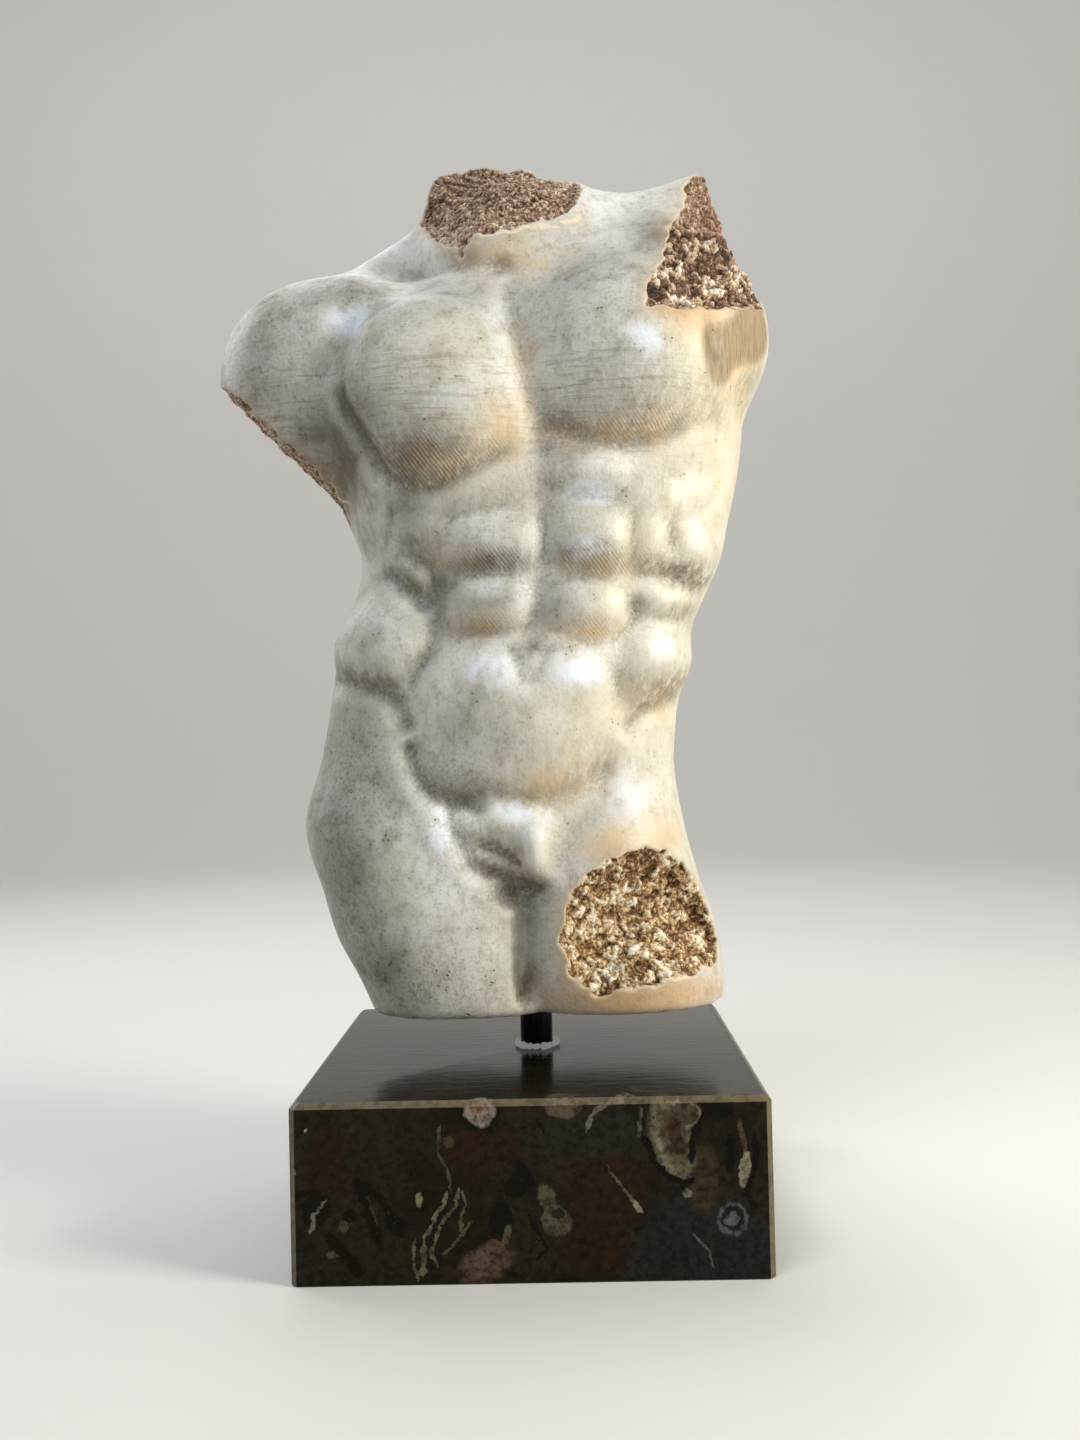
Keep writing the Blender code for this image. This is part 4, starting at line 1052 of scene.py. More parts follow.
# %% Masks stored on the skin
MASKS = {
    "broken": broken,
    "grain_level": grain_level,
    "grain_tone": grain_tone,
    "rim": rim,
    # darker in the furrows: dirt and painted shade
    "hollow": np.clip(cavity / DEEP_FURROW, 0, 1) * whole,
    "worn": np.clip(-cavity / FULL_RIDGE, 0, 1) * whole,
    # brown stain and painted shade where the relief faces down
    "underside": facing_down * whole,
    # dark spots of dirt and painted shade
    "ochre": blots(x, z, OCHRE_STAINS) * front,
    "dirt_and_shade": blots(x, z, DARK_STAINS_AND_SHADE) * front,
    # grey film and painted shade
    "film": blots(x, z, GREY_FILM_AND_SHADE) * smoothstep(-0.3, 0.3, front),
    # painted highlights of cool sheen
    "pale": blots(x, z, PAINTED_SHEEN_PATCHES) * front,
    "bared": blots(x, z, BARED_GRAINS),
    # buffed cream and painted warm highlight
    "buffed": blots(x, z, BUFFED_AND_LIT_PLACES) * front,
    "tooled": blots(x, z, TOOL_MARKS) * front,
    # cream stain and painted warm light, on what faces right or to the front
    "cream": blots(x, z, CREAM_STAINS_AND_WARM_LIGHT) * smoothstep(-0.3, 0.3, normal[:, 0] + front),
    "flecked": blots(x, z, FLECKED_SKIN) * smoothstep(-0.2, 0.4, front),
    "rust": blots(x, z, RUST_STAINS) * front,
    "facet": smoothstep(-1, -0.1, plane(skin, *SHOULDER_FACET[:2])) * smoothstep(64, 70, x) * whole,
    "band": smoothstep(272, 290, z) * smoothstep(330, 312, z) * front,
    "golden": smoothstep(220, 160, z),
    # darker on the breaks above 350 mm
    "darker_upper_breaks": smoothstep(350, 365, z) * (0.5 * smoothstep(36, 44, x) + 0.4 * smoothstep(10, -14, x)),
}
for name, values in MASKS.items():
    stored = torso_mesh.attributes.new(name, "FLOAT", "POINT")
    stored.data.foreach_set("value", values.astype(np.float32))
print(len(MASKS), "masks, the widest", max(MASKS, key=lambda name: MASKS[name].mean()))

# %% Relief and grains move the skin
carved = (carved + normal * (broken * grain_height)[:, None]) * MM
torso_mesh.vertices.foreach_set("co", carved.astype(np.float32).ravel())
for name in ("ray_sine", "ray_cosine", "ray_level", "fine"):
    torso_mesh.attributes.remove(torso_mesh.attributes[name])
torso_mesh.update()
torso_mesh.shade_smooth()
print("torso from", carved.min(0).round(4), "to", carved.max(0).round(4))

# %% [markdown]
# ## Finish of the torso: cast marble, waxed and stained
# Crushed white marble in resin is a dense, faintly warm stone with an IOR near 1.5. Wax leaves
# it satin, roughness 0.36 to 0.52; where it looks up at the light, pale patches paint on a cool
# sheen. Over the pale body colour a maker brushes thin washes, one after another: a grey-green
# bloom, grey film with painted shade, cream (with painted warm light) and ochre where hands would
# rub, brown stain and painted shade on whatever faces down, and dirt and painted shade in the
# furrows. The breaks show raw grains instead: cream tops over rust-brown joints. An image could
# be painted for all this, but noise in real sizes stays sharp from every side. The tables below
# are that recipe, and the functions here read them.

# %% Reading a material's tables


def named_values(tree, place, noises, masks, steps):
    """Values by name: noises from their sizes, masks stored on the mesh, and steps.

    A step rises smoothly from 0 to 1 while its source goes from one limit to the other."""
    value = {}
    for name, (size, detail, roughness, stretch) in noises.items():
        laid = node(tree, "Mapping", {}, {"Vector": place, "Scale": stretch})
        value[name] = node(tree, "TexNoise", {}, {
            "Vector": laid, "Scale": 1 / (size * MM), "Detail": detail, "Roughness": roughness})
    for name in masks:
        value[name] = node(tree, "Attribute", {"attribute_name": name}, output="Fac")
    for name, (source, low, high) in steps.items():
        value[name] = node(tree, "MapRange", SMOOTH_STEP, {
            "Value": value[source], "From Min": low, "From Max": high})
    return value


def product(tree, value, names, strength):
    """The named values and a strength, multiplied together."""
    amount = strength
    for name in names.split():
        amount = node(tree, "Math", {"operation": "MULTIPLY"}, {0: value[name], 1: amount})
    return amount


def washed(tree, value, colour, washes):
    """Thin washes laid one after another, each a mix by amount: where (names multiplied) times
    strength, towards its colour."""
    for names, strength, code in washes:
        colour = node(tree, "Mix", {"data_type": "RGBA"}, {
            0: product(tree, value, names, strength), 6: colour, 7: linear(code)}, 2)
    return colour


def roughened(tree, value, bumps):
    """Bumps stacked on each other: heights (names multiplied), their depth in millimetres."""
    under = {}
    for names, depth in bumps:
        height = product(tree, value, names, 1.0)
        normal = node(tree, "Bump", {"invert": depth < 0}, {
            "Height": height, "Distance": abs(depth) * MM, **under})
        under = {"Normal": normal}
    return normal


print("ochre, for one, is", tuple(round(c, 3) for c in linear("#DDB681")))

# %% Torso recipe: noises and steps
NOISES = {      # size of the lumps in mm, detail, roughness, how x, y and z are stretched
    "clouds": (34, 5, 0.55, (1, 1, 1)),
    "bloom": (11, 6, 0.62, (1, 1, 1)),
    "mottle": (4.2, 6, 0.7, (1, 1, 1)),
    "speckle": (1.3, 4, 0.75, (1, 1, 1)),
    "strokes": (2.6, 5, 0.7, (1, 1, 0.22)),
    "level_strokes": (1.5, 4, 0.65, (0.07, 0.3, 1)),
    "crumbs": (1.1, 3, 0.75, (1, 1, 1)),
    "comb": (0.8, 3, 0.6, (1, 1, 0.08)),
}
STEPS = {       # new name: what it is drawn from, where it starts, where it is full
    "cloudy": ("clouds", 0.38, 0.64),
    "bloomy": ("bloom", 0.46, 0.70),
    "patchy": ("bloom", 0.30, 0.58),
    "thin_bloom": ("bloom", 0.72, 0.42),
    "mottled": ("mottle", 0.50, 0.72),
    "speckled": ("speckle", 0.50, 0.74),
    "grainy": ("speckle", 0.26, 0.56),
    "stroked": ("strokes", 0.54, 0.72),
    "level_stroked": ("level_strokes", 0.50, 0.66),
    "brushed": ("strokes", 0.25, 0.6),
    "combed": ("comb", 0.44, 0.62),
    "fresh_rim": ("rim", 0.74, 0.94),
    "gleaming": ("pale", 0.22, 0.70),
}
print(len(NOISES), "noises from", min(size for size, *_ in NOISES.values()), "mm up")

# %% Torso recipe: washes and bumps
WASHES = (      # where (names multiplied), strength, colour; each is laid over those before
    ("cloudy", 0.60, "#B6B5A2"),            # grey-green bloom of the body, coarse to fine
    ("bloomy", 0.48, "#94937D"),
    ("mottled", 0.46, "#827E68"),
    ("speckled", 0.40, "#736E58"),
    ("stroked", 0.36, "#857E66"),
    ("level_stroked band", 0.45, "#7E7157"),    # level strokes across the chest
    ("film", 0.84, "#646155"),              # grey film and painted shade, uneven in three sizes
    ("film bloomy", 0.45, "#4C4B40"),
    ("film mottled", 0.45, "#4B4A3F"),
    ("film speckled", 0.30, "#403F35"),
    ("cream", 0.62, "#EBDDBB"),             # cream where hands rub, and painted warm light on what faces right
    ("worn", 0.35, "#EAE6DA"),              # ridges rubbed pale
    ("gleaming thin_bloom", 0.95, "#E8EEF8"),   # painted highlight: a cool sheen on patches that face up
    ("underside brushed", 0.80, "#6C5E47"),     # brown stain and painted shade on whatever faces down
    ("ochre patchy", 0.70, "#DDB681"),      # ochre stain, then cream buffing with a painted warm highlight
    ("buffed grainy", 0.85, "#F0E4C6"),
    ("rust", 0.72, "#C49052"),              # rust stain round the thigh's break, in three tones
    ("rust mottled", 0.38, "#9A6F3D"),
    ("rust thin_bloom", 0.40, "#E3C592"),
    ("facet", 0.88, "#93805F"),             # the raised shoulder's cut face, with lines down it
    ("facet combed", 0.55, "#6E5A3C"),
    ("grime grainy", 0.75, "#524A3A"),      # dirt and painted shade in the furrows, then file strokes and cracks
    ("hatched hatch_line", 0.82, "#4C3F2C"),
    ("crack grainy", 0.62, "#4F4634"),
    ("speckled flecked", 0.70, "#5A5341"),  # flecks and pits
    ("pit", 0.72, "#484132"),
    ("rim", 0.45, "#A98A63"),               # stained rims of the breaks, fresh at their very edge
    ("fresh_rim grainy", 0.60, "#EFE3C8"),
)
BUMPS = (       # heights (names multiplied), depth in mm; negative goes in
    ("speckle", 0.16),
    ("mottle", 0.30),
    ("strokes", 0.12),
    ("level_strokes band", 0.20),
    ("hatched hatch_line", -0.16),
    ("crack", -0.30),
    ("pit", -0.45),
    ("crumbs broken", 0.60),
)
print(len(WASHES), "washes and", len(BUMPS), "bumps")

# %% The file's strokes: slanting bands, wavering a little
HATCH_SPACING, HATCH_LEAN = 1.25, 38.0      # mm, drawn coarser than a real file cuts, and degrees
BANDS_IN_A_UNIT = 20 / (2 * math.pi)        # of a Wave Texture at scale 1

cast_marble, tree, shader, place = start_material("waxed cast marble")
value = named_values(tree, place, NOISES, MASKS, STEPS)
leant = node(tree, "Mapping", {}, {"Vector": place, "Rotation": (0, math.radians(HATCH_LEAN), 0)})
value["hatch"] = node(tree, "TexWave", {"wave_type": "BANDS", "bands_direction": "X"}, {
    "Vector": leant, "Scale": 1 / (BANDS_IN_A_UNIT * HATCH_SPACING * MM),
    "Distortion": 3.0, "Detail": 2.0, "Detail Scale": 1.2}, "Fac")
value["hatch_line"] = node(tree, "MapRange", SMOOTH_STEP, {
    "Value": value["hatch"], "From Min": 0.55, "From Max": 0.15})
value["hatched"] = product(tree, value, "tooled underside patchy", 1.0)
print("strokes every", HATCH_SPACING, "mm")

# %% Pits: some of the cells 2 mm apart hold a round hole of their own size
PIT_SPACING = 2.0                           # millimetres
BLOOM_PIT, FLECK_PIT = 0.24, 0.16           # largest radius as a share of the spacing; they add up

cells = node(tree, "TexVoronoi", {}, {"Vector": place, "Scale": 1 / (PIT_SPACING * MM)}, "Distance")
size = node(tree, "MapRange", SMOOTH_STEP, {
    "Value": value["bloom"], "From Min": 0.5, "From Max": 0.72, "To Max": BLOOM_PIT})
size = node(tree, "Math", {"operation": "MULTIPLY_ADD"}, {
    0: value["flecked"], 1: FLECK_PIT, 2: size})
inside = node(tree, "Math", {"operation": "SUBTRACT"}, {0: cells, 1: size})
value["pit"] = node(tree, "MapRange", SMOOTH_STEP, {
    "Value": inside, "From Min": 0.02, "From Max": -0.06})
print("pits up to", round(2 * (BLOOM_PIT + FLECK_PIT) * PIT_SPACING, 2), "mm wide")

# %% Hairline cracks: level lines that waver, each between its two ends
CRACKS = ((-48, 3, 308), (5, 66, 305), (-44, 0, 303), (8, 40, 301), (14, 60, 297))  # ends, height
CRACK_FADE, CRACK_WAVE, CRACK_WIDTH = 5.0, 4.0, 0.7         # millimetres

across, height_up = (node(tree, "SeparateXYZ", {}, {0: place}, axis) for axis in "XZ")
wavering = node(tree, "Math", {"operation": "MULTIPLY_ADD"}, {
    0: value["bloom"], 1: CRACK_WAVE * MM, 2: height_up})
value["crack"] = 0.0
for start, end, height in CRACKS:
    value["level"] = node(tree, "Math", {"operation": "COMPARE"}, {
        0: wavering, 1: (height + CRACK_WAVE / 2) * MM, 2: CRACK_WIDTH / 2 * MM})
    for name, limit, fade in (("begun", start, CRACK_FADE), ("not_ended", end, -CRACK_FADE)):
        value[name] = node(tree, "MapRange", SMOOTH_STEP, {
            "Value": across, "From Min": limit * MM, "From Max": (limit + fade) * MM})
    line = product(tree, value, "level begun not_ended mottled", 1.0)
    value["crack"] = node(tree, "Math", {"operation": "MAXIMUM"}, {0: value["crack"], 1: line})
print(len(CRACKS), "cracks,", CRACK_WIDTH, "mm wide")

# %% Colour of the skin: washes over the body colour
HOLLOW_DIRT_AND_SHADE = 0.8                           # share of the darkening in furrows: dirt and painted shade

hollow_darkening = node(tree, "Math", {"operation": "MULTIPLY"}, {0: value["hollow"], 1: HOLLOW_DIRT_AND_SHADE})
value["grime"] = node(tree, "Math", {"operation": "MAXIMUM"}, {0: hollow_darkening, 1: value["dirt_and_shade"]})
skin_colour = washed(tree, value, linear("#DCDCD7"), WASHES)
print("washes bring the material to", len(tree.nodes), "nodes")

# %% Colour of the breaks: how deep a point lies among the grains, from joint to top
REDDISH_STONE = (
    (0.06, "#25170F"), (0.25, "#62482F"), (0.42, "#8F7058"), (0.60, "#C2AA90"), (0.84, "#F2E9DB"))
GOLDEN_STONE = (
    (0.04, "#2C1B0E"), (0.23, "#694926"), (0.40, "#9F7A4E"), (0.58, "#D3BE97"), (0.82, "#FBF5E6"))
GRAIN_SHARES = (("grain_level", 0.62), ("grain_tone", 0.30), ("crumbs", 1.45), ("bared", 0.16))
DEEPEST = -0.70

depth = DEEPEST
for name, share in GRAIN_SHARES:
    depth = node(tree, "Math", {"operation": "MULTIPLY_ADD"}, {0: value[name], 1: share, 2: depth})
raw = []
for stops in (REDDISH_STONE, GOLDEN_STONE):
    shades = node(tree, "ValToRGB", {}, {"Fac": depth})
    ends = shades.node.color_ramp.elements
    for element, (position, code) in zip(ends, (stops[0], stops[-1])):
        element.position, element.color = position, linear(code)
    for position, code in stops[1:-1]:
        ends.new(position).color = linear(code)
    raw.append(shades)
raw = node(tree, "Mix", {"data_type": "RGBA"}, {0: value["golden"], 6: raw[0], 7: raw[1]}, 2)
# Darker raw stone on the breaks above 350 mm, at the neck and at the shoulder.
raw = node(tree, "Mix", {"data_type": "RGBA", "blend_type": "MULTIPLY"}, {
    0: value["darker_upper_breaks"], 6: raw, 7: linear("#B8A08C")}, 2)
colour = node(tree, "Mix", {"data_type": "RGBA"}, {0: value["broken"], 6: skin_colour, 7: raw}, 2)
tree.links.new(colour, shader.inputs["Base Color"])
print(len(REDDISH_STONE), "shades of raw stone, reddish above and golden on the thigh")

# %% Wax and relief: the wax is thinner on the bloom and absent on the breaks
STONE_IOR = 1.5
WAX_ROUGHNESS = (0.36, 0.52)                # satin
RAW_ROUGHNESS = 0.4                         # more on raw grains, which are matt

rough = node(tree, "MapRange", {}, {
    "Value": value["bloom"], "From Min": 0.3, "From Max": 0.7,
    "To Min": WAX_ROUGHNESS[0], "To Max": WAX_ROUGHNESS[1]})
rough = node(tree, "Math", {"operation": "MULTIPLY_ADD"}, {
    0: value["broken"], 1: RAW_ROUGHNESS, 2: rough})
tree.links.new(rough, shader.inputs["Roughness"])
shader.inputs["IOR"].default_value = STONE_IOR
tree.links.new(roughened(tree, value, BUMPS), shader.inputs["Normal"])
print("torso material has", len(tree.nodes), "nodes")

# %% The torso takes its place in the frame
torso = bpy.data.objects.new("cast_torso", torso_mesh)
scene.collection.objects.link(torso)
torso_mesh.materials.append(cast_marble)
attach(torso, "root")
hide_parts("torso")
print("torso with", len(torso_mesh.vertices), "corners replaces the frame's")

# %% [markdown]
# ## The plinth
# A block sawn from fossil marble, its top and upright edges chamfered by 2 mm, then polished.
# A cube with a Bevel modifier would come close, but would bevel the foot as well. The skin is one
# profile (underside, side, chamfer, top) carried round a square whose corners are cut in the
# same way. Each arris keeps a tiny round, because no polished edge is a knife.

# %% Plinth
CHAMFER, ARRIS = 2.0, 0.25      # millimetres


def octagon(half, corner, rounding):
    """Square of half width whose corners are cut at 45 degrees, turned round four times.

    Each arris is a short curve: points at 0.1, 0.2 and 0.7 of its rounding stand for the arc."""
    h, c, r = half, half - corner, rounding
    side = np.array([(h, -c + r), (h, c - r), (h - 0.1 * r, c + 0.2 * r), (h - 0.7 * r, c + 0.7 * r),
                     (c + 0.7 * r, h - 0.7 * r), (c + 0.2 * r, h - 0.1 * r)])
    quarter = [np.stack([side[:, 0] * a - side[:, 1] * b, side[:, 0] * b + side[:, 1] * a], -1)
               for a, b in ((1, 0), (0, 1), (-1, 0), (0, -1))]
    return np.vstack(quarter)


def block(low, high, chamfer, rounding):
    """Each ring of the profile is the octagon, shrunk by the ring's inset, at the ring's height.

    The rings go foot, side, rounded arris, chamfer, rounded arris, top; both ends are closed."""
    half, top = (high[0] - low[0]) / 2, high[2] - low[2]
    inset = np.array([0.3, 0.0, 0.0, 0.1 * rounding, 0.7 * rounding, chamfer - 0.7 * rounding,
                      chamfer - 0.2 * rounding, chamfer + rounding])
    rise = np.array([0.0, 0.3, top - chamfer - rounding, top - chamfer + 0.2 * rounding,
                     top - chamfer + 0.7 * rounding, top - 0.7 * rounding, top - 0.1 * rounding, top])
    outline = octagon(half, chamfer, rounding)
    rings = np.concatenate([np.c_[outline * (half - d) / half, np.full(len(outline), low[2] + h)]
                            for d, h in zip(inset, rise)])
    count, tiers = len(outline), len(inset)
    here = np.arange(count)
    ring = count * np.arange(tiers - 1)[:, None]
    after = (here + 1) % count
    sides = np.stack([ring + here, ring + after, ring + count + after, ring + count + here], -1)
    faces = sides.reshape(-1, 4).tolist()
    return rings, faces + [here[::-1].tolist(), (here + count * (tiers - 1)).tolist()]


print("outline of", len(octagon(80, CHAMFER, ARRIS)), "points")

# %% The block in its place
fossil_marble, tree, shader, place = start_material("polished fossil marble")
low, high = (np.array(corner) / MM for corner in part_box("plinth"))
points, faces = block(low, high, CHAMFER, ARRIS)
plinth = piece("marble_plinth", points * MM, faces, fossil_marble, 20)
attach(plinth, "root")
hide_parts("plinth")
print("plinth", (high - low).round(1), "mm")

# %% [markdown]
# ## Finish of the plinth: polished fossil marble
# Dark limestone that takes a polish is sold as fossil marble: black-brown lime mud with rusty
# and slaty clouds, full of shells that were cut through by the saw. Calcite has an IOR of 1.49,
# and polish leaves a roughness near 0.1 with faint level streaks. An image would be the quick
# way, but it would repeat and blur; here the mud is noise in real sizes, and each cut shell is
# a leaning oval or a chain of them. All edges are torn by the same small noise, so that nothing
# looks drawn with a compass.

# %% Plinth recipe: mud, clouds and shreds
PLINTH_NOISES = {
    "clouds": (24, 5, 0.60, (1, 1, 1)),
    "rust": (27, 3, 0.50, (1, 1, 1)),
    "slate": (31, 3, 0.50, (1, 1, 1)),
    "shreds": (6.5, 6, 0.72, (1, 1, 0.45)),
    "mottle": (2.6, 5, 0.68, (1, 1, 1)),
    "grit": (0.9, 3, 0.70, (1, 1, 1)),
    "streaks": (1.5, 4, 0.60, (0.10, 0.5, 1)),
}
PLINTH_STEPS = {
    "cloudy": ("clouds", 0.35, 0.65),
    "rusty": ("rust", 0.54, 0.68),
    "slaty": ("slate", 0.56, 0.70),
    "pale_shreds": ("shreds", 0.60, 0.72),
    "dark_shreds": ("shreds", 0.38, 0.28),
    "mottled": ("mottle", 0.42, 0.62),
    "deep": ("mottle", 0.60, 0.34),
    "gritty": ("grit", 0.62, 0.80),
}
PLINTH_WASHES = (
    ("cloudy", 1.0, "#2A251A"),
    ("rusty", 0.5, "#2A1B12"),
    ("slaty", 0.6, "#29292B"),
    ("dark_shreds", 0.7, "#0F0D0B"),
    ("pale_shreds mottled", 0.35, "#5E5845"),
)
print(len(PLINTH_NOISES), "noises and", len(PLINTH_WASHES), "washes")

# %% Shells cut through on the front face
FOSSIL_BODIES = (   # centre (x, z) on the front face, half sizes, lean to the right, colour
    ((-67, 40), (7, 12), 0, "#2B1A12"), ((-16, 44), (12, 7), 0, "#2C1B14"),
    ((24, 30), (13, 15), 0, "#2B1C12"), ((20, 12), (11, 9), 0, "#2A1A10"),
    ((60, 14), (22, 14), 20, "#232425"), ((20, 49), (18, 8), 0, "#25261F"),
    ((56.5, 33), (5.2, 11), 0, "#3B3321"), ((-50, 8), (14, 9), 0, "#2A2416"),
    ((-16, 56.8), (7.2, 6), 0, "#0D0B0A"), ((-16.4, 56.3), (5.0, 4.6), -10, "#877B72"),
    ((-17.4, 57.6), (2.2, 2), 0, "#7E6650"), ((11, 58), (6.5, 4), 8, "#5E5446"),
    ((-71, 25), (4.6, 5.6), 35, "#0E0D0C"), ((-59.7, 23), (2.6, 2), 0, "#0E0C0A"),
    ((-44.6, 19.8), (2.9, 4.3), -38, "#0A0908"), ((-65.6, 10.5), (2, 1.5), 0, "#57523F"),
    ((-61.8, 19.6), (1.5, 1.8), 0, "#4C4736"), ((-73.8, 51.7), (0.5, 0.5), 0, "#E8E8E8"),
    ((-78, 37.8), (0.9, 0.9), 0, "#6F6A5C"), ((-37.1, 28.2), (1.2, 2.6), 5, "#7C765F"),
    ((-26.9, 46.7), (2, 1.8), 0, "#4A3B2E"), ((-15.5, 6.5), (9.4, 5.4), -22, "#5F4F43"),
    ((-12.5, 11.5), (3.6, 3.2), 0, "#5C483C"), ((-5.3, 31), (4.4, 2.9), 0, "#0C0A0A"),
    ((-10.4, 21.5), (3.7, 5.4), 12, "#0D0B0B"), ((-8.4, 16), (1.5, 3.2), 15, "#57523F"),
    ((5, 28), (2.8, 4.6), -20, "#59543F"), ((8, 20.5), (5.0, 4.6), 20, "#5C5743"),
    ((8.5, 22.5), (2.2, 1.8), 0, "#2C281D"), ((2.4, 12), (2.2, 3.8), 10, "#2C2A26"),
    ((46.8, 46.4), (5.8, 12.6), -16, "#8C866F"), ((50.4, 54.5), (5.8, 4.8), 0, "#857F69"),
    ((47.6, 46.4), (4.4, 11.0), -16, "#57503C"), ((51.0, 54.6), (4.6, 3.8), 0, "#514A38"),
    ((48.0, 47.5), (2.0, 7.0), -16, "#42331F"), ((62, 56), (5.0, 3.6), 10, "#0B0A0A"),
    ((66, 19.8), (5.2, 5.2), 0, "#5C5C60"), ((66, 20.0), (4.1, 4.2), 0, "#1C1C1F"),
    ((65.8, 19.8), (2.7, 2.5), 0, "#66666B"), ((51.2, 28.5), (2, 1.4), 0, "#716A59"),
    ((-36.5, 4.5), (1.8, 1.5), 0, "#635E4B"),
)
print(len(FOSSIL_BODIES), "shells, the largest", max(max(half) for _, half, _, _ in FOSSIL_BODIES), "mm")

# %% Thin shell walls and cracks on the front face
FOSSIL_LINES = (    # route (x, z) on the front face, half width, colour
    (((-57.8, 35), (-54.8, 27), (-50.6, 14.5)), 1.8, "#080707"),
    (((-56, 33.6), (-52, 31), (-47.6, 26), (-46.6, 22)), 1.5, "#090808"),
    (((-54.3, 29), (-51.2, 20)), 0.5, "#3E382A"), (((-79, 29), (-74, 31), (-70, 31)), 1.5, "#0B0A0A"),
    (((-73.5, 18), (-71.5, 24), (-68.5, 28)), 0.7, "#7B766B"),
    (((-67, 16.5), (-62, 11), (-57, 4)), 2.1, "#0B0908"),
    (((-36.6, 3), (-35.3, 14.9), (-33.2, 19.9), (-28.9, 26), (-27.8, 30.5)), 0.75, "#6E6954"),
    (((-33.6, 9), (-32.3, 12.8), (-30.1, 19.9), (-24.8, 25.9), (-23.7, 31)), 0.6, "#625D4A"),
    (((-26, 30), (-26.7, 33.1), (-27.6, 38.2), (-30.6, 43.4), (-29.4, 52.6)), 0.55, "#4F4A3B"),
    (((-23.4, 17), (-22.8, 22.8), (-21.7, 25.9), (-22.6, 31)), 0.5, "#5A5543"),
    (((-38, 2), (-39.6, 8.8), (-38.4, 15)), 0.6, "#645F4C"),
    (((-20, 21), (-24, 15), (-29, 10)), 0.5, "#514C3C"), (((-31.5, 6), (-33.5, 11)), 0.7, "#57523F"),
    (((-4.4, 39.5), (0.2, 32.4)), 1.7, "#0A0909"), (((-4, 38), (-6, 31)), 1.3, "#0B0A0A"),
    (((-0.8, 22), (2.8, 15.2), (4.7, 11.1), (1.6, 7.8)), 0.8, "#080807"),
    (((2.5, 54), (4.5, 49)), 0.9, "#0D0C0B"),
    (((38, 47), (39.2, 43.1), (41.1, 39), (45.1, 34.9), (50.2, 31.6), (53.4, 33)), 1.2, "#060606"),
    (((59, 57), (56, 52), (53.4, 46), (53, 39)), 1.3, "#080808"),
    (((65.9, 47), (65.7, 36)), 1.7, "#070707"),
    (((74.1, 47), (73.9, 38.4), (70.6, 28.3), (73.6, 23.6)), 1.3, "#0A0909"),
    (((69, 52), (70.6, 42)), 0.9, "#4A3F2E"), (((70.9, 40.5), (69.7, 31.4)), 1.7, "#857E68"),
    (((25.5, 38), (29.6, 31.1), (35.4, 23.6)), 0.55, "#5F543F"),
    (((33.6, 25.8), (35.8, 22.8)), 0.95, "#8B826B"),
    (((52.9, 15.4), (57.9, 10.2), (59, 4)), 0.4, "#63615B"),
    (((18.5, 50), (20.9, 54.7), (26.2, 58.7), (34.4, 60.1)), 0.9, "#6B6961"),
    (((36.6, 57), (36, 47)), 0.8, "#57544A"),
)
print(len(FOSSIL_LINES), "lines")

# %% Torn coordinates, and the mud laid in them
# Each noise is near 0.5 on average, so half of both reaches is taken off again.
TEARS = ((6, 5, 0.62, 3.2), (1.7, 3, 0.60, 2.2))            # size in mm, detail, roughness, reach in mm

bent = place
for size, detail, roughness, reach in TEARS:
    torn = node(tree, "TexNoise", {}, {
        "Vector": place, "Scale": 1 / (size * MM), "Detail": detail, "Roughness": roughness}, "Color")
    bent = node(tree, "VectorMath", {"operation": "MULTIPLY_ADD"}, {
        0: torn, 1: (reach * MM,) * 3, 2: bent})
half_reach = sum(reach for *_, reach in TEARS) / 2
bent = node(tree, "VectorMath", {"operation": "SUBTRACT"}, {0: bent, 1: (half_reach * MM,) * 3})
value = named_values(tree, bent, PLINTH_NOISES, (), PLINTH_STEPS)
colour = washed(tree, value, linear("#1B170F"), PLINTH_WASHES)
print("edges torn by up to", half_reach, "mm")

# %% Shells laid in: leaning ovals, and a line is a chain of thin ones along its route
SMALL_SHELL = 7                             # millimetres
SHARP_EDGE, SOFT_EDGE = 0.12, 0.3           # share of a shell over which it fades, small and large
SHELL_DEPTH = 3                             # mm by which a shell runs deeper than it is wide

ovals = list(FOSSIL_BODIES)
for route, width, code in FOSSIL_LINES:
    for (x0, z0), (x1, z1) in zip(route[:-1], route[1:]):
        half_length = math.hypot(x1 - x0, z1 - z0) / 2 + 0.6 * width
        lean = math.degrees(math.atan2(x1 - x0, z1 - z0))
        ovals.append((((x0 + x1) / 2, (z0 + z1) / 2), (width, half_length), lean, code))
for (x, z), half, lean, code in ovals:
    soft = SHARP_EDGE if max(half) < SMALL_SHELL else SOFT_EDGE
    sizes = (half[0], max(half) + SHELL_DEPTH, half[1])
    moved = node(tree, "Mapping", {"vector_type": "TEXTURE"}, {
        "Vector": bent, "Location": (x * MM, low[1] * MM, z * MM),
        "Rotation": (0, math.radians(lean), 0), "Scale": tuple(size * (1 + soft) * MM for size in sizes)})
    inwards = node(tree, "TexGradient", {"gradient_type": "SPHERICAL"}, {"Vector": moved}, "Fac")
    inside = node(tree, "MapRange", SMOOTH_STEP, {
        "Value": inwards, "From Min": 0.0, "From Max": 2 * soft / (1 + soft)})
    colour = node(tree, "Mix", {"data_type": "RGBA"}, {0: inside, 6: colour, 7: linear(code)}, 2)

print(len(ovals), "ovals laid in")

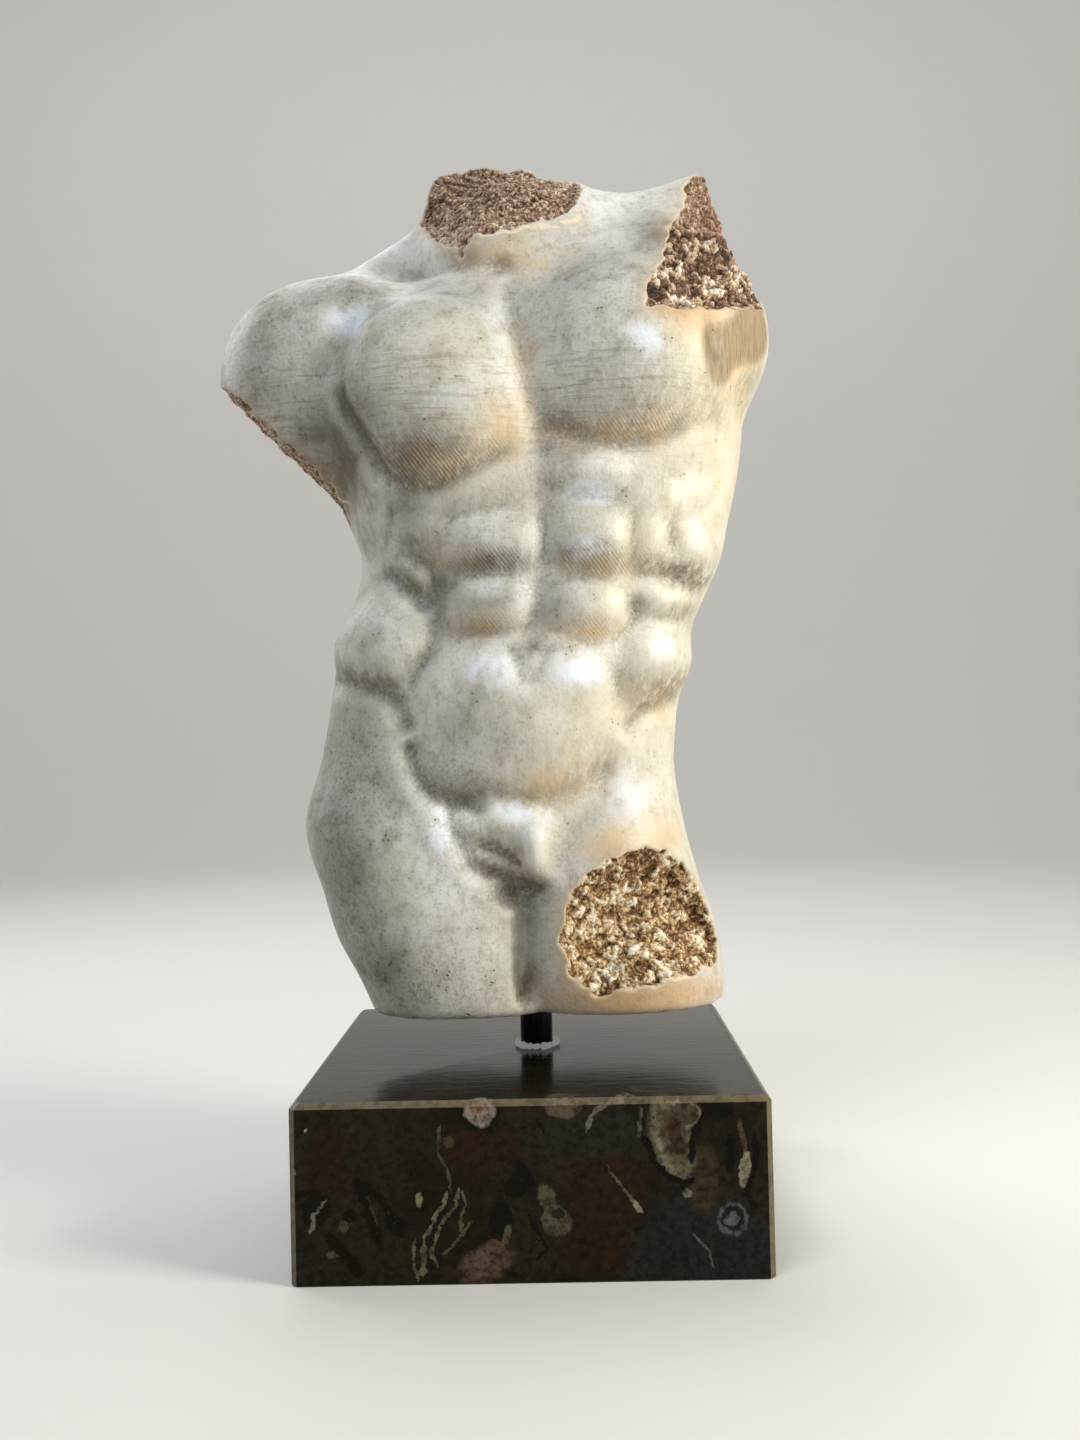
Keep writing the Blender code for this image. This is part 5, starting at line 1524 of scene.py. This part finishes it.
# %% The other sides: the same shells, scattered, each a pale ring round a dark heart
SHELL_SPACING, FRONT_SKIN = 19, 4           # millimetres; how deep the front's own shells go
SHELL_EDGE, HEART_EDGE = (0.30, 0.24), (0.17, 0.12)         # where each begins and is full,
SHELL_LEAN, SHELL_STRETCH = (0.4, 0.7, 0.2), (1, 1, 0.6)    # as a share of the spacing
SCATTERED_WASHES = (
    ("shell slaty other_sides", 0.7, "#5E5845"), ("shell rusty other_sides", 0.7, "#665748"),
    ("heart other_sides", 0.6, "#14110D"))
LAST_WASHES = (     # mud and grit over the shells too, or they would look pasted on
    ("cloudy", 0.30, "#221D14"), ("deep", 0.75, "#0C0A08"), ("dark_shreds", 0.5, "#0A0907"),
    ("pale_shreds gritty", 0.5, "#8A826C"), ("gritty", 0.30, "#7C735E"))

leaning = node(tree, "Mapping", {}, {"Vector": bent, "Rotation": SHELL_LEAN, "Scale": SHELL_STRETCH})
shells = node(tree, "TexVoronoi", {}, {"Vector": leaning, "Scale": 1 / (SHELL_SPACING * MM)}, "Distance")
away = node(tree, "SeparateXYZ", {}, {0: place}, "Y")
for name, source, start, end in (
        ("shell", shells, *SHELL_EDGE), ("heart", shells, *HEART_EDGE),
        ("other_sides", away, low[1] * MM, (low[1] + FRONT_SKIN) * MM)):
    value[name] = node(tree, "MapRange", SMOOTH_STEP, {
        "Value": source, "From Min": start, "From Max": end})
colour = washed(tree, value, colour, SCATTERED_WASHES + LAST_WASHES)
print("shells", round(2 * SHELL_EDGE[0] * SHELL_SPACING, 1), "mm wide on the other sides")

# %% Chamfers: sawn and less polished, a browner and paler stone, the pale partly a painted highlight
CHAMFER_WASHES = (
    ("chamfer", 0.50, "#8F8068"), ("chamfer dark_shreds", 0.75, "#1B1712"),
    ("chamfer deep", 0.5, "#241F17"))

facing = node(tree, "NewGeometry", output="True Normal")
facing = node(tree, "VectorMath", {"operation": "ABSOLUTE"}, {0: facing})
parts = [node(tree, "SeparateXYZ", {}, {0: facing}, axis) for axis in "XYZ"]
largest = parts[0]
for part in parts[1:]:
    largest = node(tree, "Math", {"operation": "MAXIMUM"}, {0: largest, 1: part})
value["chamfer"] = node(tree, "MapRange", SMOOTH_STEP, {
    "Value": largest, "From Min": 0.98, "From Max": 0.85})
colour = washed(tree, value, colour, CHAMFER_WASHES)
tree.links.new(colour, shader.inputs["Base Color"])
print("chamfers are where no axis takes more than", round(math.cos(math.pi / 4), 2), "of the normal")

# %% Polish: mirror-like, with faint level streaks from the wheel
# The tint dims what the polish mirrors head on, so that the pale floor does not hide the shells;
# at a glancing angle, as on the top, the mirror stays clear.
MARBLE_IOR = 1.49
POLISH_ROUGHNESS, SAWN_ROUGHNESS = (0.07, 0.17), 0.2
STREAK_BUMPS = (("streaks", 0.09),)
MIRROR_TINT = "#6E685F"

rough = node(tree, "MapRange", {}, {
    "Value": value["mottle"], "From Min": 0.3, "From Max": 0.7,
    "To Min": POLISH_ROUGHNESS[0], "To Max": POLISH_ROUGHNESS[1]})
rough = node(tree, "Math", {"operation": "MULTIPLY_ADD"}, {
    0: value["chamfer"], 1: SAWN_ROUGHNESS, 2: rough})
tree.links.new(rough, shader.inputs["Roughness"])
tree.links.new(roughened(tree, value, STREAK_BUMPS), shader.inputs["Normal"])
shader.inputs["IOR"].default_value = MARBLE_IOR
shader.inputs["Specular Tint"].default_value = linear(MIRROR_TINT)
print("plinth material has", len(tree.nodes), "nodes")

# %% [markdown]
# ## The rod
# The rod is a 12.5 mm steel bar under a black satin oxide: smooth, dark and faintly drawn along
# its length. A new cylinder could replace it, but its shape is right in the frame, so it keeps
# its mesh and only gets a finish. Oxide hides part of the metal, so metallic is a little below 1.

# %% Rod
ROD_NOISES = {"drawn": (1.2, 3, 0.6, (1, 1, 0.06))}         # lines along the bar
ROD_STEPS = {"lines": ("drawn", 0.3, 0.7)}
ROD_METALLIC, ROD_ROUGHNESS = 0.85, 0.28

black_steel, tree, shader, place = start_material("blackened steel bar")
value = named_values(tree, place, ROD_NOISES, (), ROD_STEPS)
colour = washed(tree, value, linear("#0C0D10"), (("lines", 1.0, "#1F2127"),))
tree.links.new(colour, shader.inputs["Base Color"])
shader.inputs["Metallic"].default_value = ROD_METALLIC
shader.inputs["Roughness"].default_value = ROD_ROUGHNESS
tree.links.new(roughened(tree, value, (("drawn", 0.012),)), shader.inputs["Normal"])
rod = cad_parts["rod"]
rod.data.materials.clear()
rod.data.materials.append(black_steel)

# %% [markdown]
# ## The bead of glue
# Where the rod enters the plinth, resin was pushed up and set as an uneven whitish bead. A torus
# from the Add menu would be too even, and pushing it about by hand can't be repeated. Its section
# is an oval carried round the rod, and sums of sine waves make it wide here and thin there.

# %% Bead of glue
RING_SIDES, BEAD_STEPS = 160, 20
OVERLAP, SUNK = 0.05, 0.4                   # mm into the rod and into the plinth, to leave no gap
SECTION_WIDTH, SECTION_HEIGHT = 0.72, 0.44  # share of the frame's ring that the even bead fills


def glue_bead(low, high):
    """Oval section (1 + cos bend, sin bend) carried round the rod at angle turn.

    Its size is times lobes = 1 + slow waves + one fat drip, and small drops ride on its height."""
    centre, outer = (low[:2] + high[:2]) / 2, (high[0] - low[0]) / 2
    inner = (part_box("rod")[1][0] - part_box("rod")[0][0]) / 2 / MM - OVERLAP
    turn, bend = np.meshgrid(np.arange(RING_SIDES) / RING_SIDES * 2 * np.pi,
                             np.arange(BEAD_STEPS) / BEAD_STEPS * 2 * np.pi, indexing="ij")
    lobes = 1 + 0.2 * np.sin(2 * turn + 0.7) + 0.14 * np.sin(5 * turn) + 0.12 * np.sin(11 * turn + 2)
    lobes += 0.5 * np.exp(-((np.mod(turn + np.pi / 2 + 0.9, 2 * np.pi) - 1.2) / 0.35) ** 2)
    radius = inner + (outer - inner) / 2 * lobes * SECTION_WIDTH * (1 + np.cos(bend))
    drops = 0.12 * np.sin(17 * turn + 3 * np.sin(bend)) + 0.08 * np.sin(29 * turn + 1)
    rise = 0.5 + (SECTION_HEIGHT * lobes + drops) * np.sin(bend)
    rise = low[2] - SUNK + (high[2] - low[2]) * rise
    return np.stack([centre[0] + radius * np.cos(turn), centre[1] + radius * np.sin(turn), rise], -1)


low, high = (np.array(corner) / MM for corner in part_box("adhesive_ring"))
i, j = np.meshgrid(np.arange(RING_SIDES), np.arange(BEAD_STEPS), indexing="ij")
here, after = i * BEAD_STEPS, (i + 1) % RING_SIDES * BEAD_STEPS
above = (j + 1) % BEAD_STEPS
faces = np.stack([here + j, after + j, after + above, here + above], -1).reshape(-1, 4)
print("bead of", len(faces), "quads")

# %% Dried resin: cloudy white, satin, with clearer specks
# A faint emission brightens the bead where the torso shades it: a painted glow, not a lamp.
GLUE_NOISES = {"lumps": (1.1, 4, 0.6, (1, 1, 1))}
GLUE_STEPS = {"clear": ("lumps", 0.62, 0.35)}
GLUE_ROUGHNESS, PAINTED_GLOW = 0.4, 0.16

dried_glue, tree, shader, place = start_material("dried resin glue")
value = named_values(tree, place, GLUE_NOISES, (), GLUE_STEPS)
colour = washed(tree, value, linear("#FCFBF8"), (("clear", 0.8, "#DAD7CE"),))
tree.links.new(colour, shader.inputs["Base Color"])
shader.inputs["Roughness"].default_value = GLUE_ROUGHNESS
shader.inputs["Emission Color"].default_value = linear("#F6F6F2")
shader.inputs["Emission Strength"].default_value = PAINTED_GLOW
tree.links.new(roughened(tree, value, (("lumps", 0.3),)), shader.inputs["Normal"])
bead = piece("glue_bead", glue_bead(low, high).reshape(-1, 3) * MM, faces.tolist(), dried_glue)
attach(bead, "root")
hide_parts("adhesive_ring")
print("glue bead", low.round(1), high.round(1))

# %% [markdown]
# ## Sizes
# The box of the measured frame and the box of the finished look could be compared by eye in the
# viewport; here only the box round every shown piece, floor and wall left out, is worked out.

# %% Finish
low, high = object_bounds()
